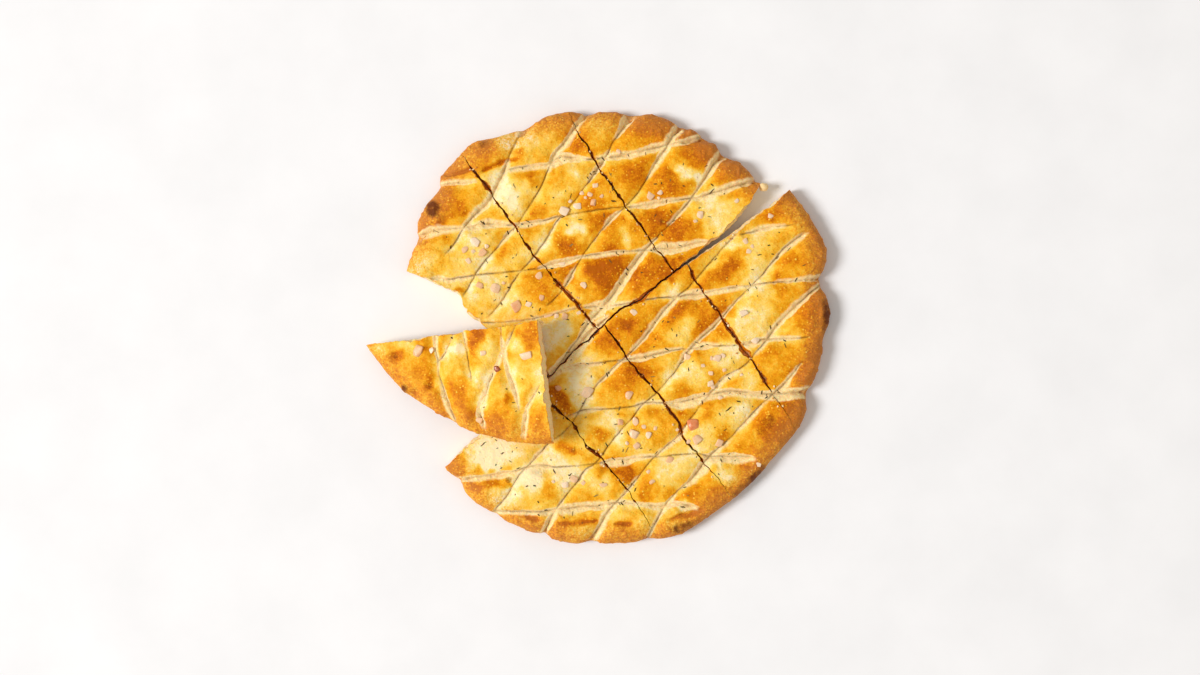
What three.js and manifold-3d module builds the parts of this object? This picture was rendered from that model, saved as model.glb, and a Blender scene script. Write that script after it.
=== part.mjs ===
// A round flat focaccia, slashed in a lattice, salted and cut into eight slices.
// Seven slices keep the shape of the loaf. The eighth is pulled out, turned and laid over the gap it left.
// Millimetres, +Z up. The origin is under the middle of the whole, on the surface that it lies on.

import * as THREE from "three";
import { mergeVertices } from "three/addons/utils/BufferGeometryUtils.js";
import Module from "manifold-3d";

const wasm = await Module();
wasm.setup();

// Loaf: its middle, and its outline as [angle in degrees, radius] pairs round that middle
const LOAF_CENTRE = [5.7, 0];
const LOAF_RADIUS = 130;
const LOAF_OUTLINE = [
  [-139, 128.5], [-127, 131], [-112, 130.5], [-100, 131], [-88, 129], [-72, 131], [-57, 127.5], [-40, 126],
  [-25, 129], [-16, 127.5], [-4, 129], [4, 133], [12, 131.5], [20, 139], [37.5, 137], [43, 127], [56, 126.5],
  [66, 130], [80, 130.5], [90, 129.5], [105, 132], [117, 131], [128, 137], [137, 136], [143, 131], [150, 131],
  [160, 125.5], [175, 124], [200, 126],
];
const OUTLINE_STEPS = 72;

// Cross-section of the loaf's side below and above its widest line, as [inset from the outline, height]
const TOP_HEIGHT = 14;
const SIDE_BELOW = [[6, 0], [1.5, 2]];
const SIDE_ABOVE = [[0, 5.5], [1.1, 9], [4.2, 12], [10.5, TOP_HEIGHT]];

// Slashes: a steep crease with a sloping bank beside it, and lips that fall off towards both
const SLASH_DEPTH = 4.5;
const CREASE_WALL = 0.7;
const LIP_DROP = 1;
const LIP_RISE = 0.7;
const LIP_REACH = 6;
const CUTTER_TOP = 22;
const SLASH_STEP = 20;
const RIM_STATIONS = [0, 4, 9, 16];
const SLASH_TAPER = 12;
const RIM_SLASH_DEPTH = 2;

// Slashes across the loaf, left to right, as a bank width and the points that each runs through
const SLASHES_ACROSS = [
  [2.2, [[-97, 85], [-84, 86], [-71, 87]]],
  [4.2, [[-58, 94], [-30, 98], [-2, 101], [31, 107], [66, 117]]],
  [2.6, [[-107, 57], [-80, 59], [-52, 61], [-23, 67], [12, 71], [37, 74], [61, 79], [97, 90]]],
  [3.4, [[-103, 29], [-72, 32], [-47, 35], [-10, 43], [34, 48], [70, 52.5]]],
  [3, [[86, 57], [100, 60], [116, 62]]],
  [3.2, [[-74, 4], [-14, 10], [22, 16], [62, 21], [109, 28], [137, 30]]],
  [3.2, [[-26, -25], [14, -19], [37, -14], [82, -10], [130, -5]]],
  [3.8, [[-23, -54], [-9, -49.5], [36, -44], [61, -41], [78, -38], [131, -38]]],
  [3.8, [[-84, -91], [-45, -85], [-2, -81], [49, -76], [91, -76], [105, -77]]],
  [3.6, [[-57, -110], [-17, -107], [13, -105], [40, -104], [60, -110]]],
];

// Slashes up the loaf, from the lower left to the upper right
const SLASHES_UP = [
  [2.4, [[-93, 43], [-80, 61], [-63, 78], [-57, 94], [-44, 121]]],
  [3, [[-82, 18], [-71, 36], [-50, 59], [-35, 83], [-16, 117]]],
  [3, [[-70, 3], [-47, 34], [-33, 51], [-15, 77], [1, 96], [18, 127]]],
  [3, [[-32, 12], [-9, 43], [17, 73], [31, 91], [52, 122]]],
  [4, [[-30, -31], [-8, 0], [3, 13], [22, 40], [37, 56], [59, 80], [77, 107]]],
  [3, [[-60, -107], [-45, -85], [-17, -60], [-4, -38], [18, -16], [39, 8], [60, 28], [84, 57]]],
  [3, [[-33, -125], [-22, -103], [-5, -82], [20, -54], [34, -41], [66, -3], [94, 28], [125, 59]]],
  [3.6, [[-4, -128], [18, -99], [34, -77], [50, -65], [63, -44], [90, -22], [113, 8], [137, 28]]],
  [4.4, [[31, -124], [48, -98], [65, -77], [89, -55], [105, -40], [127, -13]]],
];

// Knife cuts, from the rim inwards or from the long cut outwards. KERF is the gap along X that each leaves.
const KERF = 0.9;
const LONG_CUT_UPPER = [
  [-34, -32.6], [-2, -1.2], [4, 3.4], [15.5, 14], [25, 18], [45, 34.4], [67, 51], [78, 59.5], [88, 71],
  [92, 77], [98, 88], [106, 104],
];
const LONG_CUT_LOWER = [
  [-110, -99], [-72, -64], [-30.5, -30.8], [4, 1.2], [16, 13], [25, 16.8], [45, 32], [54, 37], [82, 57.5],
  [97, 70], [130, 93],
];
const GAP_CUT = [[-128, 38], [-103, 29.5], [-83, 19], [-80, 9], [-72, 3.6], [-29, -29.5], [-20, -37]];
const UPPER_LEFT_CUT = [[-98, 123], [-72, 91], [-38, 44], [-9, 10], [3, -6]];
const UPPER_RIGHT_CUT = [[-23, 138], [-14, 120], [1, 95], [18, 71], [45, 34], [50, 27]];
const LOWER_LEFT_CUT = [[-41, -27], [-21, -54], [0, -77], [18, -97], [43, -139]];
const LOWER_MIDDLE_CUT = [[0, 6], [4, 1], [23, -25], [47, -54], [50, -64], [72, -91], [90, -113]];
const LOWER_RIGHT_CUT = [[50, 45], [59, 27], [75, 5], [92, -20], [105, -40], [132, -81]];
const FAR = 220;

// Pulled-out slice, drawn flat round the middle of its own rim arc, and how it then lies
const PULLED_RADIUS = 127.5;
const PULLED_POINT = [1, -55.1];
const PULLED_LONG_SIDE = 188;
const PULLED_SHORT_SIDE = -83.4;
const PULLED_TILT = 12.5;
const PULLED_PLACE = [-33.6, 60];
const PULLED_SLASHES = [
  [2.6, [[-64, -61], [-65.5, -73], [-61.5, -84], [-56, -101.5], [-51, -117]]],
  [2.4, [[-46, -60], [-42.5, -79], [-38.5, -95]]],
  [3.4, [[-22.5, -54], [-21, -73], [-17.5, -88], [-9, -111]]],
  [2.6, [[-51, -60], [-56, -74.5], [-63, -82]]],
  [3, [[-10.5, -53], [-18, -69], [-27, -87], [-34.5, -107], [-39, -120]]],
  [3, [[4, -89], [-4, -104], [-8.5, -115.5], [-9.5, -127]]],
];

// Coarse salt as [x, y, size], on the slice that each crystal lies on
const SALT = {
  slice_upper_left: [
    [-74, 52, 6.5], [-80, 47, 4], [-70, 45, 5], [-78, 40, 3.5], [-71, 25.5, 5], [-62, 24, 5], [-49, 13, 5.5],
    [-42, 14, 3.5], [-36, 31, 4], [-34, 18, 3.5], [-30, 7.5, 5], [-20, 6.5, 5],
  ],
  slice_top: [
    [-2, 85, 4], [-10, 81, 3.2], [-5, 80, 3.2], [-3, 75.5, 4], [-13, 73, 5], [-21, 70.5, 5.5], [-22, 39, 5],
    [-9, 26, 4.5],
  ],
  slice_upper_right: [[12, 106, 3.2], [37, 81, 3.2], [31, 79, 5], [61, 68, 5.5], [83, 76, 3]],
  slice_lower_left: [[-20, -94, 3.5], [-15, -90.5, 5.5], [3, -94, 4]],
  slice_bottom: [
    [-24, -36, 3.5], [-7, -38.5, 6], [18, -40, 5.5], [13, -56.5, 5], [22, -56, 5], [21, -63.5, 6.5],
    [30, -64, 5.5], [23, -70.5, 5.5], [43, -79, 4], [30, -86, 3.2], [32, -92, 3.5],
  ],
  slice_lower_right: [
    [21, 9.5, 4], [53, -17, 5.5], [71, -18, 5], [67, -33.5, 3.5], [73, -42, 3.2], [57, -58, 7.5],
    [58.5, -66.5, 6.5], [72, -69, 5], [96, -82, 3.5],
  ],
  slice_right: [[103, 67, 4], [88, 52, 3.2], [90, 46, 3.5], [87, 9, 5.5], [94, -7, 5]],
  slice_pulled_out: [
    [-73, -73, 6], [-67, -77, 3.5], [-33, -76, 4], [-7, -76, 6.5], [-36, -117, 3.5], [-24, -84, 4],
  ],
};

// A crystal's height, its sunk share and its unevenness, as shares of its size, and its tip in radians
const SALT_SUNK = 0.3;
const SALT_FLATNESS = 0.6;
const SALT_UNEVENNESS = 0.4;
const SALT_TIP = 0.9;

const CRUST_ROUGHNESS = 0.62;
const MERGE_DISTANCE = 1e-4;
const PRISM_HEIGHT = 4 * TOP_HEIGHT;

// A repeatable draw between 0 and 1
let drawState = 20;
function draw() {
  drawState = (drawState * 48271) % 2147483647;
  return drawState / 2147483647;
}

// The solid of a closed geometry, with its doubled vertices merged
function solidOf(geometry) {
  geometry.deleteAttribute("normal");
  geometry.deleteAttribute("uv");
  const merged = mergeVertices(geometry, MERGE_DISTANCE);
  const triangles = [];
  for (let i = 0; i < merged.index.count; i += 3) {
    const [a, b, c] = merged.index.array.slice(i, i + 3);
    if (a !== b && b !== c && c !== a) triangles.push(a, b, c);
  }
  const vertProperties = new Float32Array(merged.attributes.position.array);
  const triVerts = new Uint32Array(triangles);
  return new wasm.Manifold(new wasm.Mesh({ numProp: 3, vertProperties, triVerts }));
}

// The geometry of a solid, with flat faces
function geometryOf(solid) {
  const mesh = solid.getMesh();
  const geometry = new THREE.BufferGeometry();
  geometry.setAttribute("position", new THREE.BufferAttribute(new Float32Array(mesh.vertProperties), 3));
  geometry.setIndex(new THREE.BufferAttribute(new Uint32Array(mesh.triVerts), 1));
  return geometry;
}

// Radius of the loaf's outline at an angle in degrees, eased from each pair to the next
function outlineRadius(degrees) {
  const start = LOAF_OUTLINE[0][0];
  const angle = start + THREE.MathUtils.euclideanModulo(degrees - start, 360);
  const after = LOAF_OUTLINE.findIndex(([pairAngle]) => pairAngle > angle);
  const [fromAngle, fromRadius] = LOAF_OUTLINE.at(after === -1 ? -1 : after - 1);
  const [toAngle, toRadius] = after === -1 ? [start + 360, LOAF_OUTLINE[0][1]] : LOAF_OUTLINE[after];
  return THREE.MathUtils.lerp(fromRadius, toRadius, THREE.MathUtils.smoothstep(angle, fromAngle, toAngle));
}

// Height of the loaf's top at a distance in from its outline
function topHeight(inset) {
  const after = SIDE_ABOVE.findIndex(([pairInset]) => pairInset > inset);
  if (after === 0) return SIDE_ABOVE[0][1];
  if (after === -1) return TOP_HEIGHT;
  const [fromInset, fromHeight] = SIDE_ABOVE[after - 1];
  const [toInset, toHeight] = SIDE_ABOVE[after];
  return THREE.MathUtils.mapLinear(inset, fromInset, toInset, fromHeight, toHeight);
}

// A whole loaf round [x, y]: a turned profile, drawn in or out to its outline
function loafSolid([x, y], radiusAt) {
  const side = [[LOAF_RADIUS, 0], ...SIDE_BELOW, ...SIDE_ABOVE, [LOAF_RADIUS, TOP_HEIGHT]];
  const profile = side.map(([inset, height]) => new THREE.Vector2(LOAF_RADIUS - inset, height));
  const geometry = new THREE.LatheGeometry(profile, OUTLINE_STEPS).rotateX(Math.PI / 2);
  const places = geometry.attributes.position;
  for (let i = 0; i < places.count; i += 1) {
    const degrees = THREE.MathUtils.radToDeg(Math.atan2(places.getY(i), places.getX(i)));
    const scale = radiusAt(degrees) / LOAF_RADIUS;
    places.setXY(i, x + places.getX(i) * scale, y + places.getY(i) * scale);
  }
  return solidOf(geometry);
}

// A closed solid through a row of rings, each a list of points in the same order, with flat ends
function solidThroughRings(rings, section) {
  const sides = section.length;
  const triangles = [];
  for (let ring = 0; ring + 1 < rings.length; ring += 1) {
    for (let side = 0; side < sides; side += 1) {
      const here = ring * sides + side;
      const beside = ring * sides + ((side + 1) % sides);
      triangles.push(here, here + sides, beside, beside, here + sides, beside + sides);
    }
  }
  const last = (rings.length - 1) * sides;
  for (const [a, b, c] of THREE.ShapeUtils.triangulateShape(section, [])) {
    triangles.push(a, b, c, last + a, last + c, last + b);
  }
  const geometry = new THREE.BufferGeometry().setFromPoints(rings.flat());
  geometry.setIndex(triangles);
  return solidOf(geometry);
}

// Distance in from the outline of a loaf round [x, y]
function insetAt(place, [x, y], radiusAt) {
  const degrees = THREE.MathUtils.radToDeg(Math.atan2(place.y - y, place.x - x));
  return radiusAt(degrees) - Math.hypot(place.x - x, place.y - y);
}

// Distances along a slash at which its section is set out, closer together where it may run over the rim
function slashStations(length) {
  const ends = RIM_STATIONS.filter((distance) => distance < length / 2);
  const first = ends.at(-1);
  const middle = length - 2 * first;
  const steps = Math.max(1, Math.round(middle / SLASH_STEP));
  const between = Array.from({ length: steps - 1 }, (_, i) => first + ((i + 1) * middle) / steps);
  return [...ends, ...between, ...ends.map((distance) => length - distance).reverse()];
}

// Cutter of one slash: a steep crease with a sloping bank on its right-hand side, following the loaf's top
function slashCutter([bank, points], centre, radiusAt) {
  const section = [
    [-LIP_REACH, LIP_RISE], [-CREASE_WALL, -LIP_DROP], [0, -SLASH_DEPTH], [bank, -LIP_DROP],
    [bank + LIP_REACH, LIP_RISE], [bank + LIP_REACH, CUTTER_TOP], [-LIP_REACH, CUTTER_TOP],
  ].map(([across, height]) => new THREE.Vector2(across, height));
  const curve = new THREE.CatmullRomCurve3(points.map(([x, y]) => new THREE.Vector3(x, y, 0)));
  const length = curve.getLength();
  const rings = slashStations(length).map((distance) => {
    const place = curve.getPointAt(distance / length);
    const along = curve.getTangentAt(distance / length);
    const right = new THREE.Vector3(along.y, -along.x, 0);
    const inside = THREE.MathUtils.smoothstep(insetAt(place, centre, radiusAt), 0, SLASH_TAPER);
    const fromEnd = Math.min(distance, length - distance);
    const open = THREE.MathUtils.lerp(1, Math.min(1, fromEnd / SLASH_TAPER), inside);
    const depth = THREE.MathUtils.lerp(RIM_SLASH_DEPTH / SLASH_DEPTH, 1, inside) * open;
    return section.map((corner) => {
      const point = place.clone().addScaledVector(right, corner.x);
      if (corner.y === CUTTER_TOP) return point.setZ(CUTTER_TOP);
      const height = corner.y < 0 ? corner.y * depth + (1 - open) * LIP_RISE : corner.y;
      return point.setZ(topHeight(insetAt(point, centre, radiusAt)) + height);
    });
  });
  return solidThroughRings(rings, section);
}

// An upright prism over an outline, taller than the loaf on both sides
function prism(outline) {
  const shape = new THREE.Shape(outline.map(([x, y]) => new THREE.Vector2(x, y)));
  const geometry = new THREE.ExtrudeGeometry(shape, { depth: PRISM_HEIGHT, bevelEnabled: false });
  return solidOf(geometry.translate(0, 0, -TOP_HEIGHT));
}

// A knife cut moved along X
function moved(cut, distance) {
  return cut.map(([x, y]) => [x + distance, y]);
}

// The prism between two cuts that run the same way, less half a kerf on each side
function stripBetween(leftCut, rightCut) {
  return prism([...moved(leftCut, KERF / 2), ...moved(rightCut, -KERF / 2).reverse()]);
}

// A salt crystal: an uneven block, turned and tipped
function saltCrystal(x, y, z, size) {
  const [width, depth] = [draw(), draw()].map((value) => size * (1 - SALT_UNEVENNESS * value));
  const geometry = new THREE.BoxGeometry(width, depth, size * SALT_FLATNESS);
  geometry.rotateX((draw() - 0.5) * SALT_TIP).rotateY((draw() - 0.5) * SALT_TIP).rotateZ(draw() * Math.PI);
  return solidOf(geometry.translate(x, y, z));
}

// Height of a solid's top above a point
function heightAbove(solid, x, y) {
  const body = new THREE.Mesh(geometryOf(solid), new THREE.MeshBasicMaterial());
  const ray = new THREE.Raycaster(new THREE.Vector3(x, y, PRISM_HEIGHT), new THREE.Vector3(0, 0, -1));
  return ray.intersectObject(body)[0].point.z;
}

// A slice with its salt fused on
function salted(bare, name) {
  return SALT[name].reduce((slice, [x, y, size]) => {
    const z = heightAbove(bare, x, y) + size * SALT_FLATNESS * (0.5 - SALT_SUNK);
    return slice.add(saltCrystal(x, y, z, size));
  }, bare);
}

// A slice as a named mesh with its own crust
function sliceMesh(name, solid, colour) {
  const crust = { color: colour, roughness: CRUST_ROUGHNESS, flatShading: true };
  const mesh = new THREE.Mesh(geometryOf(salted(solid, name)), new THREE.MeshStandardMaterial(crust));
  mesh.name = name;
  return mesh;
}

// The slashed loaf, and the two halves that the long cut leaves
function slashedHalves() {
  const slashes = [...SLASHES_ACROSS, ...SLASHES_UP];
  const loaf = slashes.reduce(
    (body, slash) => body.subtract(slashCutter(slash, LOAF_CENTRE, outlineRadius)),
    loafSolid(LOAF_CENTRE, outlineRadius),
  );
  return {
    upper: loaf.intersect(prism([...LONG_CUT_UPPER, [FAR, FAR], [-FAR, FAR], [-FAR, -FAR]])),
    lower: loaf.intersect(prism([...LONG_CUT_LOWER, [FAR, -FAR], [-FAR, -FAR]])),
  };
}

// The seven slices that keep the loaf's shape
function standingSlices() {
  const { upper, lower } = slashedHalves();
  const farLeft = [[-FAR, FAR], [-FAR, -FAR]];
  const farRight = [[FAR, FAR], [FAR, -FAR]];
  const strips = [
    ["slice_upper_left", upper, GAP_CUT, UPPER_LEFT_CUT, "#dba548"],
    ["slice_top", upper, UPPER_LEFT_CUT, UPPER_RIGHT_CUT, "#d99c3c"],
    ["slice_upper_right", upper, UPPER_RIGHT_CUT, farRight, "#d08d30"],
    ["slice_lower_left", lower, farLeft, LOWER_LEFT_CUT, "#e0b35e"],
    ["slice_bottom", lower, LOWER_LEFT_CUT, LOWER_MIDDLE_CUT, "#dca64a"],
    ["slice_lower_right", lower, LOWER_MIDDLE_CUT, LOWER_RIGHT_CUT, "#d69a3e"],
    ["slice_right", lower, LOWER_RIGHT_CUT, farRight, "#d8a045"],
  ];
  return strips.map(([name, half, left, right, colour]) => {
    return sliceMesh(name, half.intersect(stripBetween(left, right)), colour);
  });
}

// A point on a ray from [x, y] at an angle in degrees
function pointAt([x, y], degrees, distance) {
  const angle = THREE.MathUtils.degToRad(degrees);
  return [x + distance * Math.cos(angle), y + distance * Math.sin(angle)];
}

// The pulled-out slice, tilted about Y with its far tip on the ground
function pulledSlice() {
  const radiusAt = () => PULLED_RADIUS;
  const middle = (PULLED_LONG_SIDE + PULLED_SHORT_SIDE + 360) / 2;
  const angles = [PULLED_LONG_SIDE, middle, PULLED_SHORT_SIDE];
  const sides = angles.map((angle) => pointAt(PULLED_POINT, angle, FAR));
  const sector = loafSolid([0, 0], radiusAt).intersect(prism([PULLED_POINT, ...sides]));
  const slashed = PULLED_SLASHES.reduce(
    (body, slash) => body.subtract(slashCutter(slash, [0, 0], radiusAt)),
    sector,
  );
  const mesh = sliceMesh("slice_pulled_out", slashed, "#d69c40");
  mesh.rotation.y = -THREE.MathUtils.degToRad(PULLED_TILT);
  mesh.position.set(...PULLED_PLACE, 0);
  mesh.position.z = -new THREE.Box3().setFromObject(mesh, true).min.z;
  return mesh;
}

const focaccia = new THREE.Group();
focaccia.name = "focaccia";
focaccia.add(...standingSlices(), pulledSlice());

export default focaccia;
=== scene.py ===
import itertools
import math
from dataclasses import dataclass

import bmesh
import bpy
import numpy as np
from mathutils import Matrix, Vector


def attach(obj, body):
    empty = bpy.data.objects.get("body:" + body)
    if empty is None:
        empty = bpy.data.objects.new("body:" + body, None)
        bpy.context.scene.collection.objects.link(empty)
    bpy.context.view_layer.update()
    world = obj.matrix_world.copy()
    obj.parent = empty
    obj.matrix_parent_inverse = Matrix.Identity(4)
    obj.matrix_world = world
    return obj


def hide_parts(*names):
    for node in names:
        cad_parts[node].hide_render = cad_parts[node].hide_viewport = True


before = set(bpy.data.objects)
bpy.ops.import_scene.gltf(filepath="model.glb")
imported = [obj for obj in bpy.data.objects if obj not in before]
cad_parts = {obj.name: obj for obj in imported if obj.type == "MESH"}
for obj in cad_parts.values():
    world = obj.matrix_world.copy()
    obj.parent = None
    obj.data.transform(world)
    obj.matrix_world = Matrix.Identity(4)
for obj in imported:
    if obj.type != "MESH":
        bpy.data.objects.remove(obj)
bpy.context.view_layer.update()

# A round flat focaccia, slashed in a lattice, salted and cut into eight slices, one of them pulled out.
# Sizes are in millimetres until a mesh is made, and then in metres.
MM = 0.001
BODY = "root"

# Loaf: its middle, its outline as (angle in degrees, radius) pairs, and its side as (inset, height) pairs
LOAF_CENTRE = (5.7, 0)
LOAF_OUTLINE = (
    (-139, 128.5), (-127, 131), (-112, 130.5), (-100, 131), (-88, 129), (-72, 131), (-57, 127.5), (-40, 126),
    (-25, 129), (-16, 127.5), (-4, 129), (4, 133), (12, 131.5), (20, 139), (37.5, 137), (43, 127),
    (56, 126.5), (66, 130), (80, 130.5), (90, 129.5), (105, 132), (117, 131), (128, 137), (137, 136),
    (143, 131), (150, 131), (160, 125.5), (175, 124), (200, 126),
)
TOP_HEIGHT = 14
WIDEST_HEIGHT = 5.5
SIDE = ((10.5, TOP_HEIGHT), (4.2, 12), (1.1, 9), (0, WIDEST_HEIGHT), (1.5, 2), (6, 0))
SIDE_START = SIDE[0][0]
SIDE_STEP = 0.6
TOP_RINGS = 252
UNDER_RINGS = TOP_RINGS // 3
LOAF_TOAST = 1.0
LOAF_SEED = 1

# Edges that bend by more than so many degrees stay sharp
SLICE_SHARP = 70
SCRAP_SHARP = 50

# Slashes: each runs through points (x, y, width), and is a crease with a steep bank and a flat one beside it
SLASH_DEPTH = 2.2
SHALLOW_DEPTH = 0.6
DEPTH_PER_WIDTH = 0.3
NARROWEST = 0.9
STEEP_SHARE = 0.44
NARROWEST_BANK = 0.55
LIP_DROP = 1.3
STEEP_LIP = 0.2
LIP_REACH = 6
SLASH_TAPER = 5
NOTCH_REACH = (3, 16)
FAR_FROM_SLASH = 30.0
SLASHES = (
    ((-105, 84, 1.2), (-89, 87, 2.4), (-80, 87, 2.4), (-71, 88, 1.6)),
    ((-57, 95, 2.5), (-40, 97.5, 3.6), (-30, 98.5, 4), (-23, 102.5, 8), (-14, 102, 5.5), (-4, 101, 1.5),
     (8, 102.5, 4), (20, 104.5, 3.6), (31, 107.5, 4.2), (44, 110.5, 3), (55, 113, 3.6), (72, 119, 4)),
    ((-118, 53, 5), (-101, 58, 5), (-88, 59.5, 3), (-80, 60, 2.5), (-68, 62.5, 5.4), (-52, 62, 2),
     (-44, 63, 3.6), (-32, 65, 2.2), (-13, 69, 1.2), (4, 71.5, 0.8), (16, 72.5, 0.8), (28, 73.5, 3.8),
     (37, 75, 4), (49, 77, 1.6), (61, 78.5, 3), (70, 81.5, 4), (80, 84.5, 4.2), (91, 88, 3.4), (100, 91, 2)),
    ((-103, 29.5, 1.5), (-91, 29.5, 3), (-72, 32, 1.4), (-56, 33.5, 1), (-38, 35.5, 1), (-28, 38.5, 4),
     (-19, 40, 4), (-10, 43, 2), (1, 44.5, 2.4), (14, 46, 1.9), (30, 47, 2.2), (37, 47.5, 7),
     (43.5, 47.5, 7.6), (51, 49, 5.6), (61, 51, 3.6), (68, 52, 2)),
    ((83, 56, 1), (91, 57.5, 2), (98, 59.5, 3.3), (109, 61, 2), (118, 62, 0.8)),
    ((-74, 3.5, 0.8), (-56, 3.5, 1.2), (-38, 6, 1.6), (-10, 12, 1.6), (2, 13, 5.5), (13, 14, 2),
     (31, 17.5, 1.4), (46, 18.5, 2), (55, 20, 4.6), (63, 20.5, 4.2), (74, 23, 3.6), (86, 25, 2),
     (103, 27.5, 1.3), (115, 28, 1.6), (124, 29, 2.6), (143, 31, 3.2)),
    ((-25, -26, 1.5), (-16, -23, 4), (-4, -21.5, 2.4), (6, -20, 0.9), (14, -19, 2), (25, -18, 4),
     (35, -15.5, 4), (46, -13, 2), (56, -12.5, 1.4), (64.5, -11, 3.4), (74, -11, 1), (84, -10, 1),
     (91.5, -8.5, 4), (100, -6.5, 2.6), (111, -6.5, 2.7), (121, -6, 1.4), (129, -5, 0.8)),
    ((-36, -34, 4), (-28, -26.5, 5), (-16, -14.5, 7.5), (-5, -3, 7), (3, 4, 3), (8, 8, 0.8)),
    ((-22, -54.5, 1), (-15, -51.5, 1.6), (-8, -49, 2.4), (8, -48.5, 0.9), (20, -47, 1.2), (30, -45, 2.4),
     (40, -45, 2.4), (49, -44.5, 6), (58, -42.5, 5.6), (67, -40, 4), (78, -38, 5), (88, -38.5, 3.6),
     (97, -39.5, 5), (109, -39.5, 6.6), (121, -39, 7), (138, -40, 7)),
    ((-93, -93.5, 2.5), (-77, -90.5, 3.4), (-66, -88.5, 2.6), (-58, -87.5, 4), (-50, -86, 2), (-41, -83, 1.8),
     (-32, -82.5, 3.4), (-25, -83.5, 0.9), (-11, -82.5, 0.8), (-1, -81, 1), (7, -80, 4.2), (18, -79, 4.4),
     (30, -77.5, 2.4), (43, -76.5, 0.8), (60, -75.5, 0.8), (68, -77, 4.6), (80, -77.5, 6), (88, -77.5, 4),
     (96, -78, 1)),
    ((-66, -110.5, 2), (-47, -110, 2.6), (-35, -110, 2.6), (-25, -109, 5), (-11, -107.5, 5), (4, -107, 5),
     (12, -105, 3), (25, -105.5, 2.4), (37, -107, 5), (46, -105.5, 3), (53, -107, 4.6), (62, -108, 1)),
    ((-93, 43, 0.8), (-86, 51.5, 1.4), (-81, 59.5, 2.2), (-76.5, 65.5, 4), (-71, 71, 4.2), (-66, 76, 3.6),
     (-61, 85, 4), (-57, 94, 3.6), (-53, 104.5, 1), (-49, 113.5, 1), (-46.5, 118, 4.4), (-39, 130, 5)),
    ((-82, 18, 0.8), (-72, 35, 0.9), (-62, 47, 1.2), (-55, 56, 3), (-50, 60.5, 1.6), (-45, 68, 0.8),
     (-35, 83, 0.9), (-31, 92.5, 1.6), (-28.5, 99.5, 4), (-25, 106, 4.5), (-20, 112, 3.4), (-15, 119.5, 3.4),
     (-6, 133, 3.4)),
    ((-67, 5.5, 0.8), (-57, 18, 1.2), (-52, 26.5, 1.6), (-46.5, 34, 1), (-40, 41.5, 1.6), (-33, 50.5, 0.8),
     (-26, 62, 1.9), (-16, 74.5, 1), (-7, 86, 1.1), (-1.5, 94, 3.4), (4, 101.5, 3), (8.5, 110.5, 0.8),
     (13, 118, 4.2), (17, 125, 6.6), (22, 134, 7.5)),
    ((-32, 12, 0.8), (-21, 23.5, 1.2), (-17.5, 29.5, 2.4), (-13.5, 37, 1.2), (-7, 47, 0.9), (3, 60, 1.9),
     (8.5, 66, 2.8), (16.5, 73, 0.8), (25, 83, 0.9), (31, 93.5, 2.4), (37, 103, 4), (41, 109, 4.6),
     (45, 116.5, 5), (55, 132, 6.6)),
    ((-30, -30.5, 1), (-16, -11.5, 1), (-5, 3.5, 4), (2, 11.5, 6), (8, 18.5, 5), (15, 29, 5), (22, 39, 5),
     (28, 47, 4.2), (34, 53, 1.6), (39, 58, 0.9), (46.5, 66.5, 1.8), (53, 74, 2.6), (59, 82, 1.2),
     (64.5, 90.5, 3.8), (69, 98, 5.2), (73, 103, 6), (80, 113, 6)),
    ((-64, -112, 3), (-55.5, -101.5, 1.8), (-48, -89, 1.2), (-41, -81.5, 1.8), (-34.5, -74.5, 2.6),
     (-30, -69, 1.2), (-19, -61, 1), (-11, -49, 0.8), (-4, -38, 0.9), (3, -30.5, 2.2), (10, -23, 2.2),
     (19, -14.5, 1.4), (25.5, -8.5, 2.8), (31, -1, 3.2), (38, 8.5, 2.6), (46, 17.5, 2.2), (55, 25, 0.9),
     (67, 39, 0.8), (76, 49, 1.2), (83, 57, 2)),
    ((-38, -136, 3.4), (-31, -119.5, 4.4), (-28, -113, 5), (-23.5, -106, 2), (-18, -98.5, 1),
     (-13, -92.5, 1.2), (-8, -85, 1.9), (-1, -80, 1), (10, -65.5, 0.8), (20, -54, 0.8), (25, -47.5, 1.5),
     (35, -39, 0.9), (46, -26, 0.8), (52.5, -16, 3.4), (59, -9, 2.4), (68, -0.5, 2.8), (76, 8, 2),
     (84, 17.5, 1.6), (91, 25, 0.8), (100, 34, 1.4), (109, 45, 2.6), (116.5, 52, 3.2), (124.5, 58, 3.6)),
    ((-9, -136, 3.4), (0.5, -120, 4.6), (6, -110.5, 5), (11.5, -104, 2), (21, -93.5, 2), (28, -84, 1),
     (34, -77, 1.4), (41.5, -70, 3), (47.5, -65, 3.4), (53.5, -56.5, 1), (62.5, -44.5, 1.2), (69, -37, 3),
     (76.5, -29.5, 3), (87, -23, 1), (95, -14, 1.6), (102, -5.5, 2.6), (109.5, 4, 4.2), (118.5, 13, 4),
     (128, 21.5, 2.6), (141, 31, 1.6)),
    ((26, -135, 1.4), (34.5, -116.5, 2), (39.5, -107.5, 4), (47, -98.5, 1), (55, -92, 4.4), (61, -84.5, 6.4),
     (65, -78.5, 5.4), (78, -67, 1.2), (87, -57.5, 2.4), (95, -48.5, 2), (101.5, -42.5, 1.4),
     (108.5, -36.5, 4), (115, -29.5, 2.6), (123, -18.5, 0.8)),
)

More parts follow.
